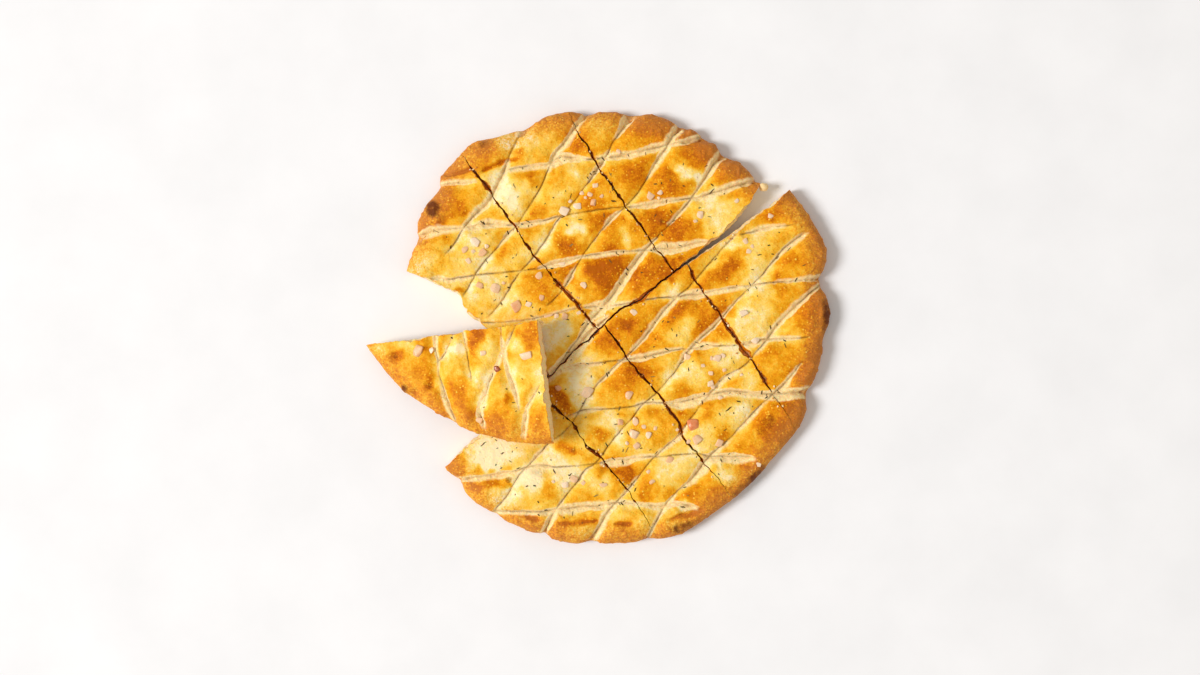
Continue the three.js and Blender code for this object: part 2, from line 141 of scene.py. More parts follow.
# Folds of the rolled rim, through points (x, y, half its width)
FOLDS = (
    ((-45, -113, 1.2), (-39, -114.6, 1.6), (-34, -115.6, 1.2)),
    ((-25, -117, 1.2), (-12, -117.2, 1.8), (1, -115.4, 1.4)),
    ((9, -117.6, 1.2), (15, -117.6, 1.5), (22, -116.8, 1.2)),
    ((41, -115, 1.2), (52, -112.6, 1.8), (64, -109.5, 1.2)),
    ((-94, 92, 1), (-83, 93.2, 1.5), (-74.5, 95.2, 1.4)),
    ((-71, 93.6, 1.2), (-65, 96.2, 1.4), (-57, 99.6, 1.4), (-47, 101, 1)),
)
FOLD_DEPTH = 2.0
FOLD_BROWN = 0.46

# Knife cuts. On top, a slice's wall stands back from the knife's path by half a KERF and what has chipped
# off, by LEAST_SPREAD at least, and below CUT_FLOOR by CUT_CLEARANCE and its grain alone. Towards the rim,
# all but the clearance shrinks to RIM_SHARE.
KERF = 0.9
CUT_FLOOR = 9.5
CUT_CLEARANCE = 0.04
LONG_CUT_UPPER = (
    (-34, -32.9), (-2, -1.7), (4, 3.1), (15.5, 13.2), (25, 17.4), (35, 25.2), (45, 33.5), (54, 40.6),
    (67, 50.6), (78, 59.5), (88, 71), (92, 77), (98, 88), (106, 104),
)
LONG_CUT_LOWER = (
    (-110, -99), (-72, -64), (-30.5, -30), (-13, -12.8), (4, 2.8), (16, 13), (25, 16.8), (35, 24.9),
    (45, 33.2), (54, 39), (82, 58.2), (97, 70), (130, 93),
)
GAP_CUT = ((-128, 38), (-103, 29.5), (-83, 19), (-80, 9), (-72, 3.6), (-29, -29.5), (-20, -37))
UPPER_LEFT_CUT = ((-98, 123), (-72, 91), (-38, 44), (-9, 10), (3, -6))
UPPER_RIGHT_CUT = ((-23, 138), (-14, 120), (1, 95), (18, 71), (45, 34), (50, 27))
LOWER_LEFT_CUT = ((-41, -27), (-27.5, -47), (-17, -56), (-7, -70), (0, -77), (18, -97), (43, -139))
LOWER_MIDDLE_CUT = ((0, 6), (4, 1), (23, -25), (47, -54), (50, -64), (72, -91), (90, -113))
LOWER_RIGHT_CUT = ((50, 45), (59, 27), (75, 5), (92, -20), (105, -40), (132, -81))
FAR = 220
FAR_LEFT = ((-FAR, FAR), (-FAR, -FAR))
FAR_RIGHT = ((FAR, FAR), (FAR, -FAR))
CUT_STEP = 0.8
CUT_LEVELS = np.arange(-3, 24, 0.9)
CUT_SPREAD = 1.1
CUT_CHIP = 0.7
LEAST_SPREAD = 0.15
RIM_SHARE = 0.15
RIM_CLOSING = (3, 18)

# Places where a cut is chipped wider as (x, y, reach, amount), and where it is tighter with an amount below 0
CHIPPED = (
    (-67, 84, 7, 0.3), (-50, 61, 12, -0.3), (-28, 32, 12, -0.4), (-8, 8, 9, -0.4), (21, 67, 6, 0.3),
    (3, 92, 4, 0.4), (48.5, -62, 4, 1.2), (90, -17, 5, 0.4), (62, 22, 5, 0.5), (26, -29, 5, 0.4),
    (-24, -49, 9, -0.7), (-10, -67, 9, -0.7), (4, -87, 9, -0.2), (22, -105, 7, -1.2), (30, -117, 9, -2),
    (68, -87, 6, -1), (75, -95, 8, -2), (84, -105, 8, -2), (108, -45, 5, -1), (114, -53, 8, -2),
    (122, -65, 8, -2),
)

# Cut faces: how rough they are, which cuts gape, and how brown and how crumbly the others look beside them
CUT_GRAIN = 0.07
OPEN_GRAIN = 0.3
WALL_GRAIN = {FAR_LEFT: 0, FAR_RIGHT: 0, GAP_CUT: OPEN_GRAIN}
OPEN_CUTS = (GAP_CUT, LONG_CUT_UPPER[7:], LONG_CUT_LOWER[:3], LONG_CUT_LOWER[9:])
OPEN_REACH = 5
OPEN_BROWN = 0.6
# Walls of narrow cuts: browner and less crumbly, as painted shade in the narrow gap
NARROW_CUT_SHADE_BROWN = 0.74
NARROW_CUT_SHADE_CRUMB = 0.36

# Pulled-out slice, drawn flat round the middle of its own rim arc, and how it then lies
PULLED = "slice_pulled_out"
PULLED_RADIUS = 127.5
PULLED_POINT = (1, -55.1)
PULLED_LONG_SIDE = 188
PULLED_SHORT_SIDE = -83.4
PULLED_REACH = 140
PULLED_TILT = 12.5
PULLED_UNDERCUT = 1.6
PULLED_PLACE = (-33.6, 60)
PULLED_TOAST = 0.75
PULLED_SEED = 100
PULLED_SLASHES = (
    ((-63, -58, 4), (-62.5, -72, 2.6), (-61, -80, 2), (-60, -88, 1.2), (-57.5, -95.5, 2), (-55, -104, 3),
     (-50, -118, 1.6)),
    ((-46, -58, 2), (-44.5, -66, 1.8), (-43, -73, 1.4), (-41.5, -82, 1), (-39, -93, 0.8)),
    ((-21, -54, 2), (-21.5, -64, 1.4), (-20.5, -72, 2.4), (-18.5, -80, 3), (-15.5, -90.5, 3.6),
     (-12.5, -99.5, 3), (-9.5, -111, 1)),
    ((-50, -60, 1), (-54.5, -71.5, 1.6), (-58.5, -78, 2.2), (-62.5, -81, 2.4)),
    ((-9, -52, 1.2), (-15, -63.5, 1.2), (-20, -73, 2.4), (-23.5, -80, 2.6), (-28, -89.5, 2.6),
     (-31.5, -99.5, 3.2), (-34, -105.5, 3.6), (-35, -112, 3.8), (-32, -121, 2)),
    ((3, -92.5, 0.8), (-0.5, -98, 1.4), (-3.5, -103.5, 2), (-6, -108, 2.6), (-7, -114, 3.6), (-8.5, -127, 4)),
)

# Browned places on the crust as (x, y, reach, amount), and pale ones with an amount below 0
BROWNED = (
    (-55, -80, 28, -0.25), (-75, 45, 30, -0.08), (15, 42, 42, 0.2), (45, 88, 42, 0.17), (108, -54, 20, 0.22),
    (-25, 75, 40, 0.08), (-88, 80, 12, 0.12), (-94, 75, 9, 0.5), (-81.5, 74, 4.5, 0.9), (-94, 64.5, 4, 0.8),
    (-70, 109, 4, 0.5), (-63, 91, 6, -0.6), (-41, 111, 9, -0.7), (-55, 112, 8, -0.7), (-50, 105.5, 3.5, 0.7),
    (-52, 72, 6, -0.5), (-14, 110, 7, 0.5), (4, 123, 7, -0.3), (-42, 83, 7, -0.4), (-17, 92, 4, -0.4),
    (-28, 84, 5, -0.2), (-41, 92, 4, 0.3), (-14, 68, 5, -0.3), (-57, 82, 9, -0.8), (-22, 80, 8, -0.3),
    (-36, 70, 6, 0.4), (-6, 76, 8, 0.3), (0, 65, 9, 0.5), (-13, 57, 6, -0.8), (-20, 50, 5.5, 0.7),
    (-33, 50, 6, -0.4), (-40, 61, 5, 0.3), (4, 34, 10, 0.7), (-9, 29, 5, -0.2), (8, 42, 7, 0.6),
    (-21, 35, 6, 0.6), (-13, 23, 6, 0.4), (-36, 28, 9, 0.45), (-42, 45, 6, -0.3), (-3, 22, 6, -0.3),
    (-70, 41, 6, -0.3), (-53, 66, 5, -0.4), (-84, 38, 9, -0.3), (-107, 41, 8, -0.5), (-110, 34, 6, -0.5),
    (-103, 62, 5, 0.3), (-90, 55, 5, 0.4), (-48, 42, 8, -0.2), (-71, 55, 7, -0.4), (-76, 53, 6, -0.4),
    (-16, 40, 5.5, 1), (-60, 48, 5, 0.4), (-55, 20, 8, -0.3), (-42, 9, 6, -0.3), (-76, 16, 7, -0.3),
    (-85, 22, 2.5, 0.6), (-94, 24, 9, -0.4), (-63, 28, 8, -0.3), (32, 120, 10, 0.5), (41, 126, 4, 0.5),
    (56, 119, 6, 0.5), (69, 111, 8, 0.5), (83, 97, 8, 0.5), (72, 93, 6, 0.3), (21, 91, 10, 0.5),
    (56, 106, 10, 0.3), (41, 91, 8, 0.3), (45, 83, 8, 0.5), (49, 98, 4.5, -0.8), (55, 94, 5, -0.9),
    (61, 90.5, 4, -0.7), (37, 64, 3.5, 0.5), (31, 67, 9, 0.25), (47, 57, 9, 0.6), (22, 80, 5, -0.3),
    (69, 69, 14, -0.8), (66, 40, 5, -0.4), (78, 82, 5, 0.4), (89, 83, 6, 0.3), (50, 44, 8, 0.4),
    (41, 36, 6, 0.6), (31, 36, 9, 0.6), (23, 28, 8, 0.6), (10, 37, 10, 0.6), (5, 26, 8, 0.5),
    (12, 58, 5.5, -0.4), (16, 51, 5, -0.7), (106, 67, 7, 0.3), (112, 78, 5, 0.4), (121, 63, 7, -0.2),
    (119, 44, 8, 0.3), (97, 53, 7, -0.4), (83, 40, 6, 0.5), (70, 31, 7, 0.5), (73, 47, 6, -0.4),
    (94, 37, 9, -0.45), (93, 26, 8, -0.4), (104, 19, 6, -0.2), (129, 13, 9, 0.4), (76, 8, 5, 0.5),
    (46, 28, 5, -0.4), (42, 10, 7, 0.8), (60, 14, 9, 0.5), (17, 3, 6, 0.3), (14, 9, 5, -0.3), (18, 0, 4, 0.5),
    (52, -1, 7, -0.5), (6, -8, 8, 0.6), (30, -8, 7, 0.6), (24, -13, 5, 0.5), (42, -4, 4, -0.4),
    (41, 22, 6, -0.8), (67, 5, 7, 0.5), (74, 0, 5, 0.5), (44, -102, 6, 0.6), (62, -4, 5, 0.4),
    (91, 2, 12, -0.8), (124, -1, 9, 0.2), (110, -18, 10, 0.1), (123, -28, 9, 0.3), (133, -17, 5, 0.4),
    (14, -31, 10, 0.5), (22, -24, 7, 0.5), (30, -28, 8, 0.4), (45, -31, 7, -0.4), (-13, -25, 8, -0.6),
    (-9, -33, 7, -0.6), (49, -22, 7, -0.3), (72, -28, 6, 0.3), (58, -28, 7, -0.4), (82, 47, 5, -0.4),
    (52, -38, 6, 0.4), (74, -16, 9, -0.5), (89, -31, 7, -0.4), (32, -49, 4, 0.3), (16, -50, 5, 0.4),
    (35, -57, 6, -0.2), (25, -70, 6, -0.4), (9, -57, 7, -0.4), (53, -49, 3, 0.5), (52.5, -61, 4, 0.6),
    (3, -53, 6, -0.4), (65, -48, 7, 0.4), (74, -54, 5, -0.2), (74, -63, 5, 0.4), (90, -45, 6, -0.4),
    (63, -66, 9, -0.5), (84, -52, 8, -0.5), (100, -57, 10, 0.4), (115, -46, 8, 0.3), (88, -70, 5, 0.3),
    (78, -87, 7, -0.7), (48, -80, 8, -0.5), (29, -98, 5, 0.3), (41, -90, 8, -0.4), (57, -98, 6, 0.3),
    (9, -68, 6, -0.5), (12, -86, 7, 0.8), (62, 24, 5, 0.4), (112, 25, 6, 0.8), (45, -114, 6, -0.3),
    (28, -119, 5, -0.4), (-12, -119, 6, -0.4), (56, -75, 5, -0.4), (15, -113, 6, -0.3), (51, -107, 5, -0.4),
    (2, -63, 5, 0.5), (-8, -55, 4, -0.2), (3, -22, 5, -0.4), (33, -85, 5, -0.4), (-15, -73, 3, 0.6),
    (-20, -70, 5, 0.5), (1, -84, 5, 0.4), (16, -90, 4, 0.4), (1, -92, 7, -0.6), (-18, -95, 6, -0.6),
    (-20, -88, 5, -0.4), (-55, -104, 9, -0.5), (-29, -96, 6, 0.5), (-15, 21, 7, -0.5), (20, 68, 6, -0.3),
    (-10, 85, 6, -0.3), (72, -98, 8, 0.3), (85, -13, 5, -0.4), (-65, 6, 7, -0.3), (-78, 22, 5, -0.3),
    (-74, -94, 4, 0.7), (-66, -93.5, 3.5, 0.7), (-60, -93, 3.5, 0.5), (-70, -84.5, 2.6, 0.6),
    (-63, -83.5, 2.6, 0.6), (-55, -82, 2.6, 0.5), (-54, -91, 2.5, 0.6), (-63, -101, 5, -0.3),
    (-83, -79, 7, 0.4), (-90, -84, 4, 0.5), (-52, -76, 7, -0.4), (-41, -118, 6, 0.2), (-68, -72, 12, -0.9),
    (-46, -88, 5, -0.6), (-58, -78, 6, -0.5), (-39, -92, 7, -0.8), (-13, -84, 8, -0.4), (-24, -76, 8, -0.3),
    (-25, -36, 3, 0.4), (-24, -40, 3.4, 0.5), (-22.5, -44, 3.6, 0.6), (-20, -48.5, 3.6, 0.5),
    (-30, -8, 9, -0.7), (-21, -2, 6, -0.4), (-24, -14, 5, 0.2), (-12, -41, 7, -0.8), (-17, -31, 5, -0.5),
    (-18, 3, 6, -0.4), (-9, -20, 6, -0.4),
)
PULLED_BROWNED = (
    (-87.5, -77, 3.6, 1.6), (-65, -94.5, 3.6, 1.4), (-74.5, -98, 3.2, 1.2), (-98, -72, 6, -0.4),
    (-70, -63, 5, 0.5), (-68, -73, 4, 0.4), (-69, -86, 6, 0.5), (-41.5, -70, 4, 0.7), (-39, -62, 5, 0.7),
    (-49.5, -94, 6, 0.5), (-46, -103, 7, 0.4), (-38, -109, 4, 0.8), (-3.5, -61, 5, 0.5), (-4, -67, 5, 0.6),
    (-11, -63.5, 4, 0.5), (-26.5, -114, 7, 0.3), (-0.5, -111, 7, 0.5), (-17.5, -99.5, 3, 0.6),
    (-64, -88, 4, 0.6), (-60.5, -103, 5, 0.5), (-77.5, -91, 4, 0.1), (-15.5, -117, 6, 0.2),
    (2.5, -114, 5, 0.4), (-9, -95, 4, -0.3), (-35, -64, 4, 0.4), (-82, -68.5, 6, -0.5), (-49.5, -70, 5, -0.6),
    (-52.5, -74.5, 5, -0.6), (-35, -88, 6, -0.5), (-21.5, -96.5, 5, -0.4), (2.5, -87.5, 8, -0.5),
    (-31, -67, 4, -0.5), (-12.5, -70, 6, -0.5), (-30, -75.5, 5.5, -0.5), (-35, -102.5, 4, -0.4),
    (1.5, -100, 6, -0.4), (-14.5, -86, 6, -0.5),
)

# Burnt places and dimples as (x, y, reach, amount)
BURNT = (
    (-99.6, 71.5, 5, 1.3), (-94.5, 65, 3, 0.4), (136.8, 15, 3, 0.5), (137.6, 10.5, 3.4, 0.75),
    (137.6, 6, 3.4, 0.75), (137.2, 1.5, 3.2, 0.6), (136.4, -3, 2.8, 0.4), (98.6, -85.1, 3.4, 0.55),
    (95.1, -89.1, 3.8, 0.7), (91.1, -93.1, 3.8, 0.75), (86.6, -97.1, 3.6, 0.65), (82.1, -101.1, 3.2, 0.45),
    (44.5, -121.2, 3.2, 0.45), (49, -120.2, 3.6, 0.65), (53.5, -118.7, 3.4, 0.55), (58.5, -116.7, 3, 0.35),
    (37, 64, 2, 0.5), (-15, -73, 1.6, 0.5), (-54, -91, 2, 0.7), (-70, 110, 2.5, 0.7), (18, 1, 2, 0.4),
    (102, -56, 4.5, 0.5), (97, -62, 3, 0.35),
)
PULLED_BURNT = ((-82, -96.5, 3, 0.8), (-87, -76.5, 2, 0.5), (-65, -94.5, 2, 0.5))
DIMPLES = ((-87.5, -77, 2.6, 2.8), (-65, -94.5, 2.6, 2.8), (-74.5, -98, 2.2, 2))

# Crust: how brown it is where nothing is marked, and what marked places, the rim and the lips add or take
BASE_BROWN = 0.42
DARKEST_BROWN = 0.8
SPOT_BROWN = 0.36
SPOT_PALE = 0.5
RIM_BROWN = 0.14
RIM_BROWN_SWING = 0.06
BROWNEST_TURN = 20
EDGE_BROWN = 0.08
SIDE_BROWN = 0.66
# Lips: paler crust, less so on the steep bank: real paleness with painted light on the flat bank
LIP_PALE_AND_LIT = 0.17
RIM_REACH = (2, 18)
EDGE_REACH = (1, 6)

# Relief: how high the crust swells between slashes, and unevenness as layers of noise (height, size, seed)
SWELL = 2.1
PILLOW_REACH = (-3, 9)
BLISTER_SIZE = 2.6
BLISTER_RISE = (0.3, 0.9)
BURN_RISE = 0.5
SLASH_WANDER = ((0.3, 9, 1), (0.22, 3, 2))
SLASH_BREADTH = ((0.22, 7, 3), (0.16, 2.4, 4))
TOP_RELIEF = ((0.6, 34, 5), (0.45, 13, 6), (0.16, 4, 7), (0.08, 1.7, 8))
CRUMB_RELIEF = ((0.22, 1.5, 17), (0.2, 3.2, 18))
SPOT_BENDS = ((3, 10, 23), (1.6, 4, 25))
FOLD_WANDER = ((0.7, 6, 31),)
KNIFE_WOBBLE = ((0.7, 9, 40), (0.49, 3.4, 43), (0.28, 1.7, 45))

# Colours as shown, from 0 to 255
CRUST_COLOURS = (
    (0.0, (255, 234, 184)), (0.16, (253, 214, 114)), (0.32, (248, 195, 66)), (0.47, (238, 165, 22)),
    (0.61, (219, 132, 6)), (0.75, (196, 104, 2)), (0.88, (160, 78, 10)), (1.0, (110, 54, 20)),
)
RIM_COLOUR = (214, 150, 74)
CRUMB_COLOURS = (
    (0.2, (230, 188, 122)), (0.4, (248, 217, 158)), (0.55, (254, 232, 178)), (0.75, (255, 241, 204)),
)
CRUMB_STAIN = (247, 208, 126)
# Painted shade in the crevices of the slashes, most on the steep bank, taken for the shaded side
CREVICE_SHADE_COLOUR = (208, 158, 94)
# Painted shade: the dark line along the creases of the slashes
CREASE_SHADE_COLOUR = (106, 60, 24)
BURNT_COLOUR = (94, 40, 14)
SALT_COLOURS = (
    (0.0, (253, 230, 200)), (0.3, (250, 213, 172)), (0.5, (245, 192, 142)), (0.75, (228, 130, 76)),
    (1.0, (148, 72, 40)),
)
HERB_COLOURS = ((0.0, (46, 32, 12)), (0.45, (92, 70, 28)), (1.0, (158, 130, 72)))
FLOOR_COLOURS = ((0.3, (238, 238, 240)), (0.7, (244, 244, 246)))
LOOSE_CRUMB_COLOURS = ((0.0, (206, 140, 62)), (0.5, (240, 198, 126)), (1.0, (254, 232, 186)))

# Coarse salt as (x, y, size, tint), from white at 0 over pink to red-brown at 1
SALT = (
    (-74, 52, 6.5, 0.1), (-80, 47, 4, 0.45), (-70, 45, 5, 0.5), (-78, 40, 3.5, 0.25), (-71, 25.5, 5, 0.5),
    (-62, 24, 5, 0.35), (-49, 13, 5.5, 0.55), (-42, 14, 3.5, 0.1), (-36, 31, 4, 0.45), (-34, 18, 3.5, 0.5),
    (-30, 7.5, 5, 0.4), (-20, 6.5, 5, 0.45), (-2, 85, 4, 0.3), (-10, 81, 3.2, 0.3), (-5, 80, 3.2, 0.35),
    (-3, 75.5, 4, 0.5), (-13, 73, 5, 0.05), (-21, 70.5, 5.5, 0.15), (-22, 39, 5, 0.1), (-9, 26, 4.5, 0.25),
    (12, 106, 3.2, 0.35), (37, 81, 3.2, 0.2), (31, 79, 5, 0.4), (61, 68, 5.5, 0.25), (83, 76, 3, 0.2),
    (-20, -94, 3.5, 0.1), (-15, -90.5, 5.5, 0.4), (3, -94, 4, 0.4), (-24, -36, 3.5, 0.55),
    (-7, -38.5, 6, 0.3), (18, -40, 5.5, 0.45), (13, -56.5, 5, 0.5), (22, -56, 5, 0.35), (21, -63.5, 6.5, 0.3),
    (30, -64, 5.5, 0.12), (23, -70.5, 5.5, 0.4), (43, -79, 4, 0.5), (30, -86, 3.2, 0.35), (32, -92, 3.5, 0.4),
    (21, 9.5, 4, 0.2), (53, -17, 5.5, 0.35), (71, -18, 5, 0.3), (67, -33.5, 3.5, 0.25), (73, -42, 3.2, 0.2),
    (57, -58, 7.5, 0.72), (58.5, -66.5, 6.5, 0.4), (72, -69, 5, 0.45), (96, -82, 3.5, 0.1),
    (103, 67, 4, 0.25), (88, 52, 3.2, 0.3), (90, 46, 3.5, 0.2), (87, 9, 5.5, 0.1), (94, -7, 5, 0.1),
)
FINE_SALT = (
    (74.5, -16.4, 3, 0.2), (67.7, -18, 2.6, 0.35), (67, -27, 3, 0.3), (62.5, -22.5, 2.4, 0.25),
    (85.7, -28.4, 2.8, 0.2), (75.3, -25, 2.4, 0.4), (68.5, -35.5, 2.8, 0.3), (54, -68, 3, 0.35),
    (47, -61, 2.6, 0.3), (27, -59, 2.8, 0.25), (34, -60, 2.4, 0.4), (17, -69, 2.6, 0.3), (-8, 78, 2.4, 0.3),
    (2, 79, 2.4, 0.4), (-17, 76, 2.6, 0.15), (-67, 49, 2.8, 0.3), (-75, 46, 2.6, 0.2), (-57, 27, 2.6, 0.3),
    (-25, 7, 2.8, 0.3), (-12, 9, 2.4, 0.25), (58, 64, 2.6, 0.3), (36, 78, 2.2, 0.2), (92, 49, 2.2, 0.3),
    (-27, -92, 2.4, 0.2), (-9, -93, 2.8, 0.35),
)
PULLED_SALT = (
    (-72.5, -73.5, 7, 0.5), (-65, -73.5, 3.8, 0.05), (-32, -75, 4, 0.3), (-6, -76.5, 6.5, 0.25),
    (-36, -115, 5, 0.4), (-24, -84, 4.4, 0.95),
)
SALT_SEED = 5
SALT_SUNK = 0.35
SALT_FACETS = 10
SALT_SHARPNESS = 12
SALT_FLATNESS = 0.35
SALT_STRETCH = (0.7, 1.15)
FACET_REACH = (0.38, 0.52)
FACE_REACH = (0.45, 0.56)

# Dried herb flakes: places that stand out, long ones as (x, y, length, turn), and how many more are scattered
HERBS = (
    (-60.6, -72), (-57.5, -75), (-51.6, -74), (-49, -71.7), (-61.5, -82), (-26.5, -86), (-16.6, -87.5),
    (-28.5, -79), (-12, -40), (-21, -54), (25.5, -72), (17.7, -63), (31, -73), (11.7, -51.6), (38.6, 4),
    (60, 4), (25.7, -2), (34, 3.4), (44, -1), (34, -6.6), (56.5, -20), (81, -20.6), (79, -39), (81, -51),
    (84, -44), (121, -39), (76, -61), (32.6, -43), (3.7, -80), (7, 92), (9, 76), (18, 103.6), (37.7, 86.7),
    (51, 85), (43.6, 69.7), (60.6, 72), (77, 30), (7, 40), (102, 49.5), (130.5, 45), (123, 37.6), (69, 57),
    (-50.5, 85), (-6.5, 90), (-19.7, 82), (-27, 78), (-16.6, 79), (-32, 74.5), (-11, 65), (-19, 61.6),
    (-42.5, 64), (-91, 54.5), (-62, 16.7), (-43, 15.8), (-26.7, 26.6),
)
LONG_HERBS = (
    (68, 82, 4.6, 45), (78, -48.5, 4.8, 35), (-69, -69.5, 4.4, 38), (17, -73, 4, 60), (58, -74, 4.2, -40),
)
PULLED_HERBS = (
    (-42, -77), (-27, -88), (-32, -107), (-14, -104), (-12, -109), (-52, -66), (-18, -96), (-8, -90),
    (2, -98),
)
HERB_SEED = 8
HERB_COUNT = 190
HERB_TRIES = 1600
HERB_FIELD = 118
HERB_INSET = 10
HERB_CHANCE = 0.06
HERB_CHANCE_IN_SLASH = 0.5
HERB_CHANCE_ON_PALE = 0.12
HERB_LENGTHS = (0.8, 3.4)
HERB_WIDTHS = (0.4, 0.9)
HERB_THICKNESS = 0.14

# Loose crumbs beside the cuts, and a torn lump at the wide end of the long cut
CRUMB_SEED = 11
CRUMB_COUNT = 150
CRUMB_SIZES = (0.5, 1.5)
CRUMB_SPREAD = 2.2
CRUMB_STRETCH = (0.75, 1.15)
CRUMB_INSET = 8
TORN_LUMP = (99.5, 85, 8.5, 4.8)
TORN_TINT = 0.7

# Camera: straight above, as far up as the frame's width needs
CAMERA_PLACE = (0.9, -5.7, 1013)
CAMERA_LENS = 50
CAMERA_SENSOR = 36

# Studio, in metres: one soft light, pale surroundings and a floor just under the bread
KEY_PLACE = (-5.0, -0.6, 5.0)
KEY_SIZE = 2.4
KEY_POWER = 410
SKY_COLOUR = (1, 0.95, 0.88, 1)
SKY_STRENGTH = 0.52
FLOOR_HALF = 4.0
FLOOR_DROP = 0.0004


def smooth(value, low, high):
    """0 up to low, 1 from high, and eased between."""
    share = np.clip((value - low) / (high - low), 0, 1)
    return share * share * (3 - 2 * share)


def mix(low, high, share):
    return low + (high - low) * share


def noise(places, size, seed):
    """Smooth noise from -1 to 1 with features of about that size."""
    cells = places / size + 17.37 * seed
    corner = np.floor(cells).astype(np.int64)
    part = cells - corner
    part = part * part * (3 - 2 * part)
    total = np.zeros(len(places))
    for step in itertools.product((0, 1), repeat=places.shape[1]):
        mixed = np.full(len(places), 374761393 * seed, np.int64)
        weight = np.ones(len(places))
        for axis, (side, factor) in enumerate(zip(step, (73856093, 19349663, 83492791))):
            mixed ^= (corner[:, axis] + side) * factor
            weight *= part[:, axis] if side else 1 - part[:, axis]
        mixed = (mixed ^ (mixed >> 13)) * 1274126177
        mixed ^= mixed >> 16
        total += weight * ((mixed & 0xFFFF) / 32767.5 - 1)
    return total


def layered_noise(places, size, seed, layers=3):
    """Noise with finer noise laid over it."""
    return sum(noise(places, size / 2**layer, seed + layer) / 2**layer for layer in range(layers))


def unevenness(places, layers, seed=0):
    """Sum of noises, each given as (height, size, seed)."""
    return sum(height * noise(places, size, seed + own) for height, size, own in layers)


def curve_through(points, step=1.0):
    """Points along a smooth curve through the given ones."""
    points = np.array(points, float)
    padded = np.vstack([2 * points[0] - points[1], points, 2 * points[-1] - points[-2]])
    samples = []
    for before, start, end, after in zip(padded, padded[1:], padded[2:], padded[3:]):
        count = max(2, int(np.linalg.norm(end - start) / step))
        share = np.arange(count)[:, None] / count
        samples.append(0.5 * (
            2 * start + (end - before) * share + (2 * before - 5 * start + 4 * end - after) * share**2
            + (3 * start - before - 3 * end + after) * share**3
        ))
    return np.vstack([*samples, points[-1:]])


def outline_radius(degrees):
    """Radius of the loaf's outline at angles in degrees, eased from each pair to the next."""
    angles, radii = np.array(LOAF_OUTLINE + ((LOAF_OUTLINE[0][0] + 360, LOAF_OUTLINE[0][1]),), float).T
    wrapped = angles[0] + (degrees - angles[0]) % 360
    after = np.clip(np.searchsorted(angles, wrapped, "right"), 1, len(angles) - 1)
    share = smooth((wrapped - angles[after - 1]) / (angles[after] - angles[after - 1]), 0, 1)
    return mix(radii[after - 1], radii[after], share)


@dataclass
class Dough:
    """A round of dough: its middle, outline, slashes and marks."""

    centre: tuple
    radius_at: object
    slashes: tuple
    browned: tuple
    burnt: tuple
    open_cuts: tuple
    toast: float
    seed: int
    folds: tuple = ()
    dimples: tuple = ()

    def turn(self, plan):
        """Angle round the middle in degrees."""
        away = plan - self.centre
        return np.degrees(np.arctan2(away[:, 1], away[:, 0]))

    def inset(self, plan):
        """Distance in from the outline."""
        away = plan - self.centre
        return self.radius_at(self.turn(plan)) - np.hypot(away[:, 0], away[:, 1])


def beside_slash(plan, points):
    """Distance to the right of a slash, distance in from its nearer end, and the slash's width there."""
    line = curve_through(points)
    axis = 0 if np.ptp(line[:, 0]) > np.ptp(line[:, 1]) else 1
    forward = line[-1, axis] > line[0, axis]
    line = line if forward else line[::-1]
    along = plan[:, axis]
    slope = np.interp(along, line[:, axis], np.gradient(line[:, 1 - axis], line[:, axis]))
    cosine = 1 / np.sqrt(1 + slope**2)
    offset = (plan[:, 1 - axis] - np.interp(along, line[:, axis], line[:, 1 - axis])) * cosine
    right = offset if forward == (axis == 1) else -offset
    from_end = np.minimum(along - line[0, axis], line[-1, axis] - along) / cosine
    return right, from_end, np.interp(along, line[:, axis], line[:, 2])


def near_places(plan, places, power=1.0):
    """Sum of soft round spots, each given as (x, y, reach, amount)."""
    return np.zeros(len(plan)) + sum(
        amount * np.exp(-(((plan[:, 0] - x) ** 2 + (plan[:, 1] - y) ** 2) / reach**2) ** power)
        for x, y, reach, amount in places
    )


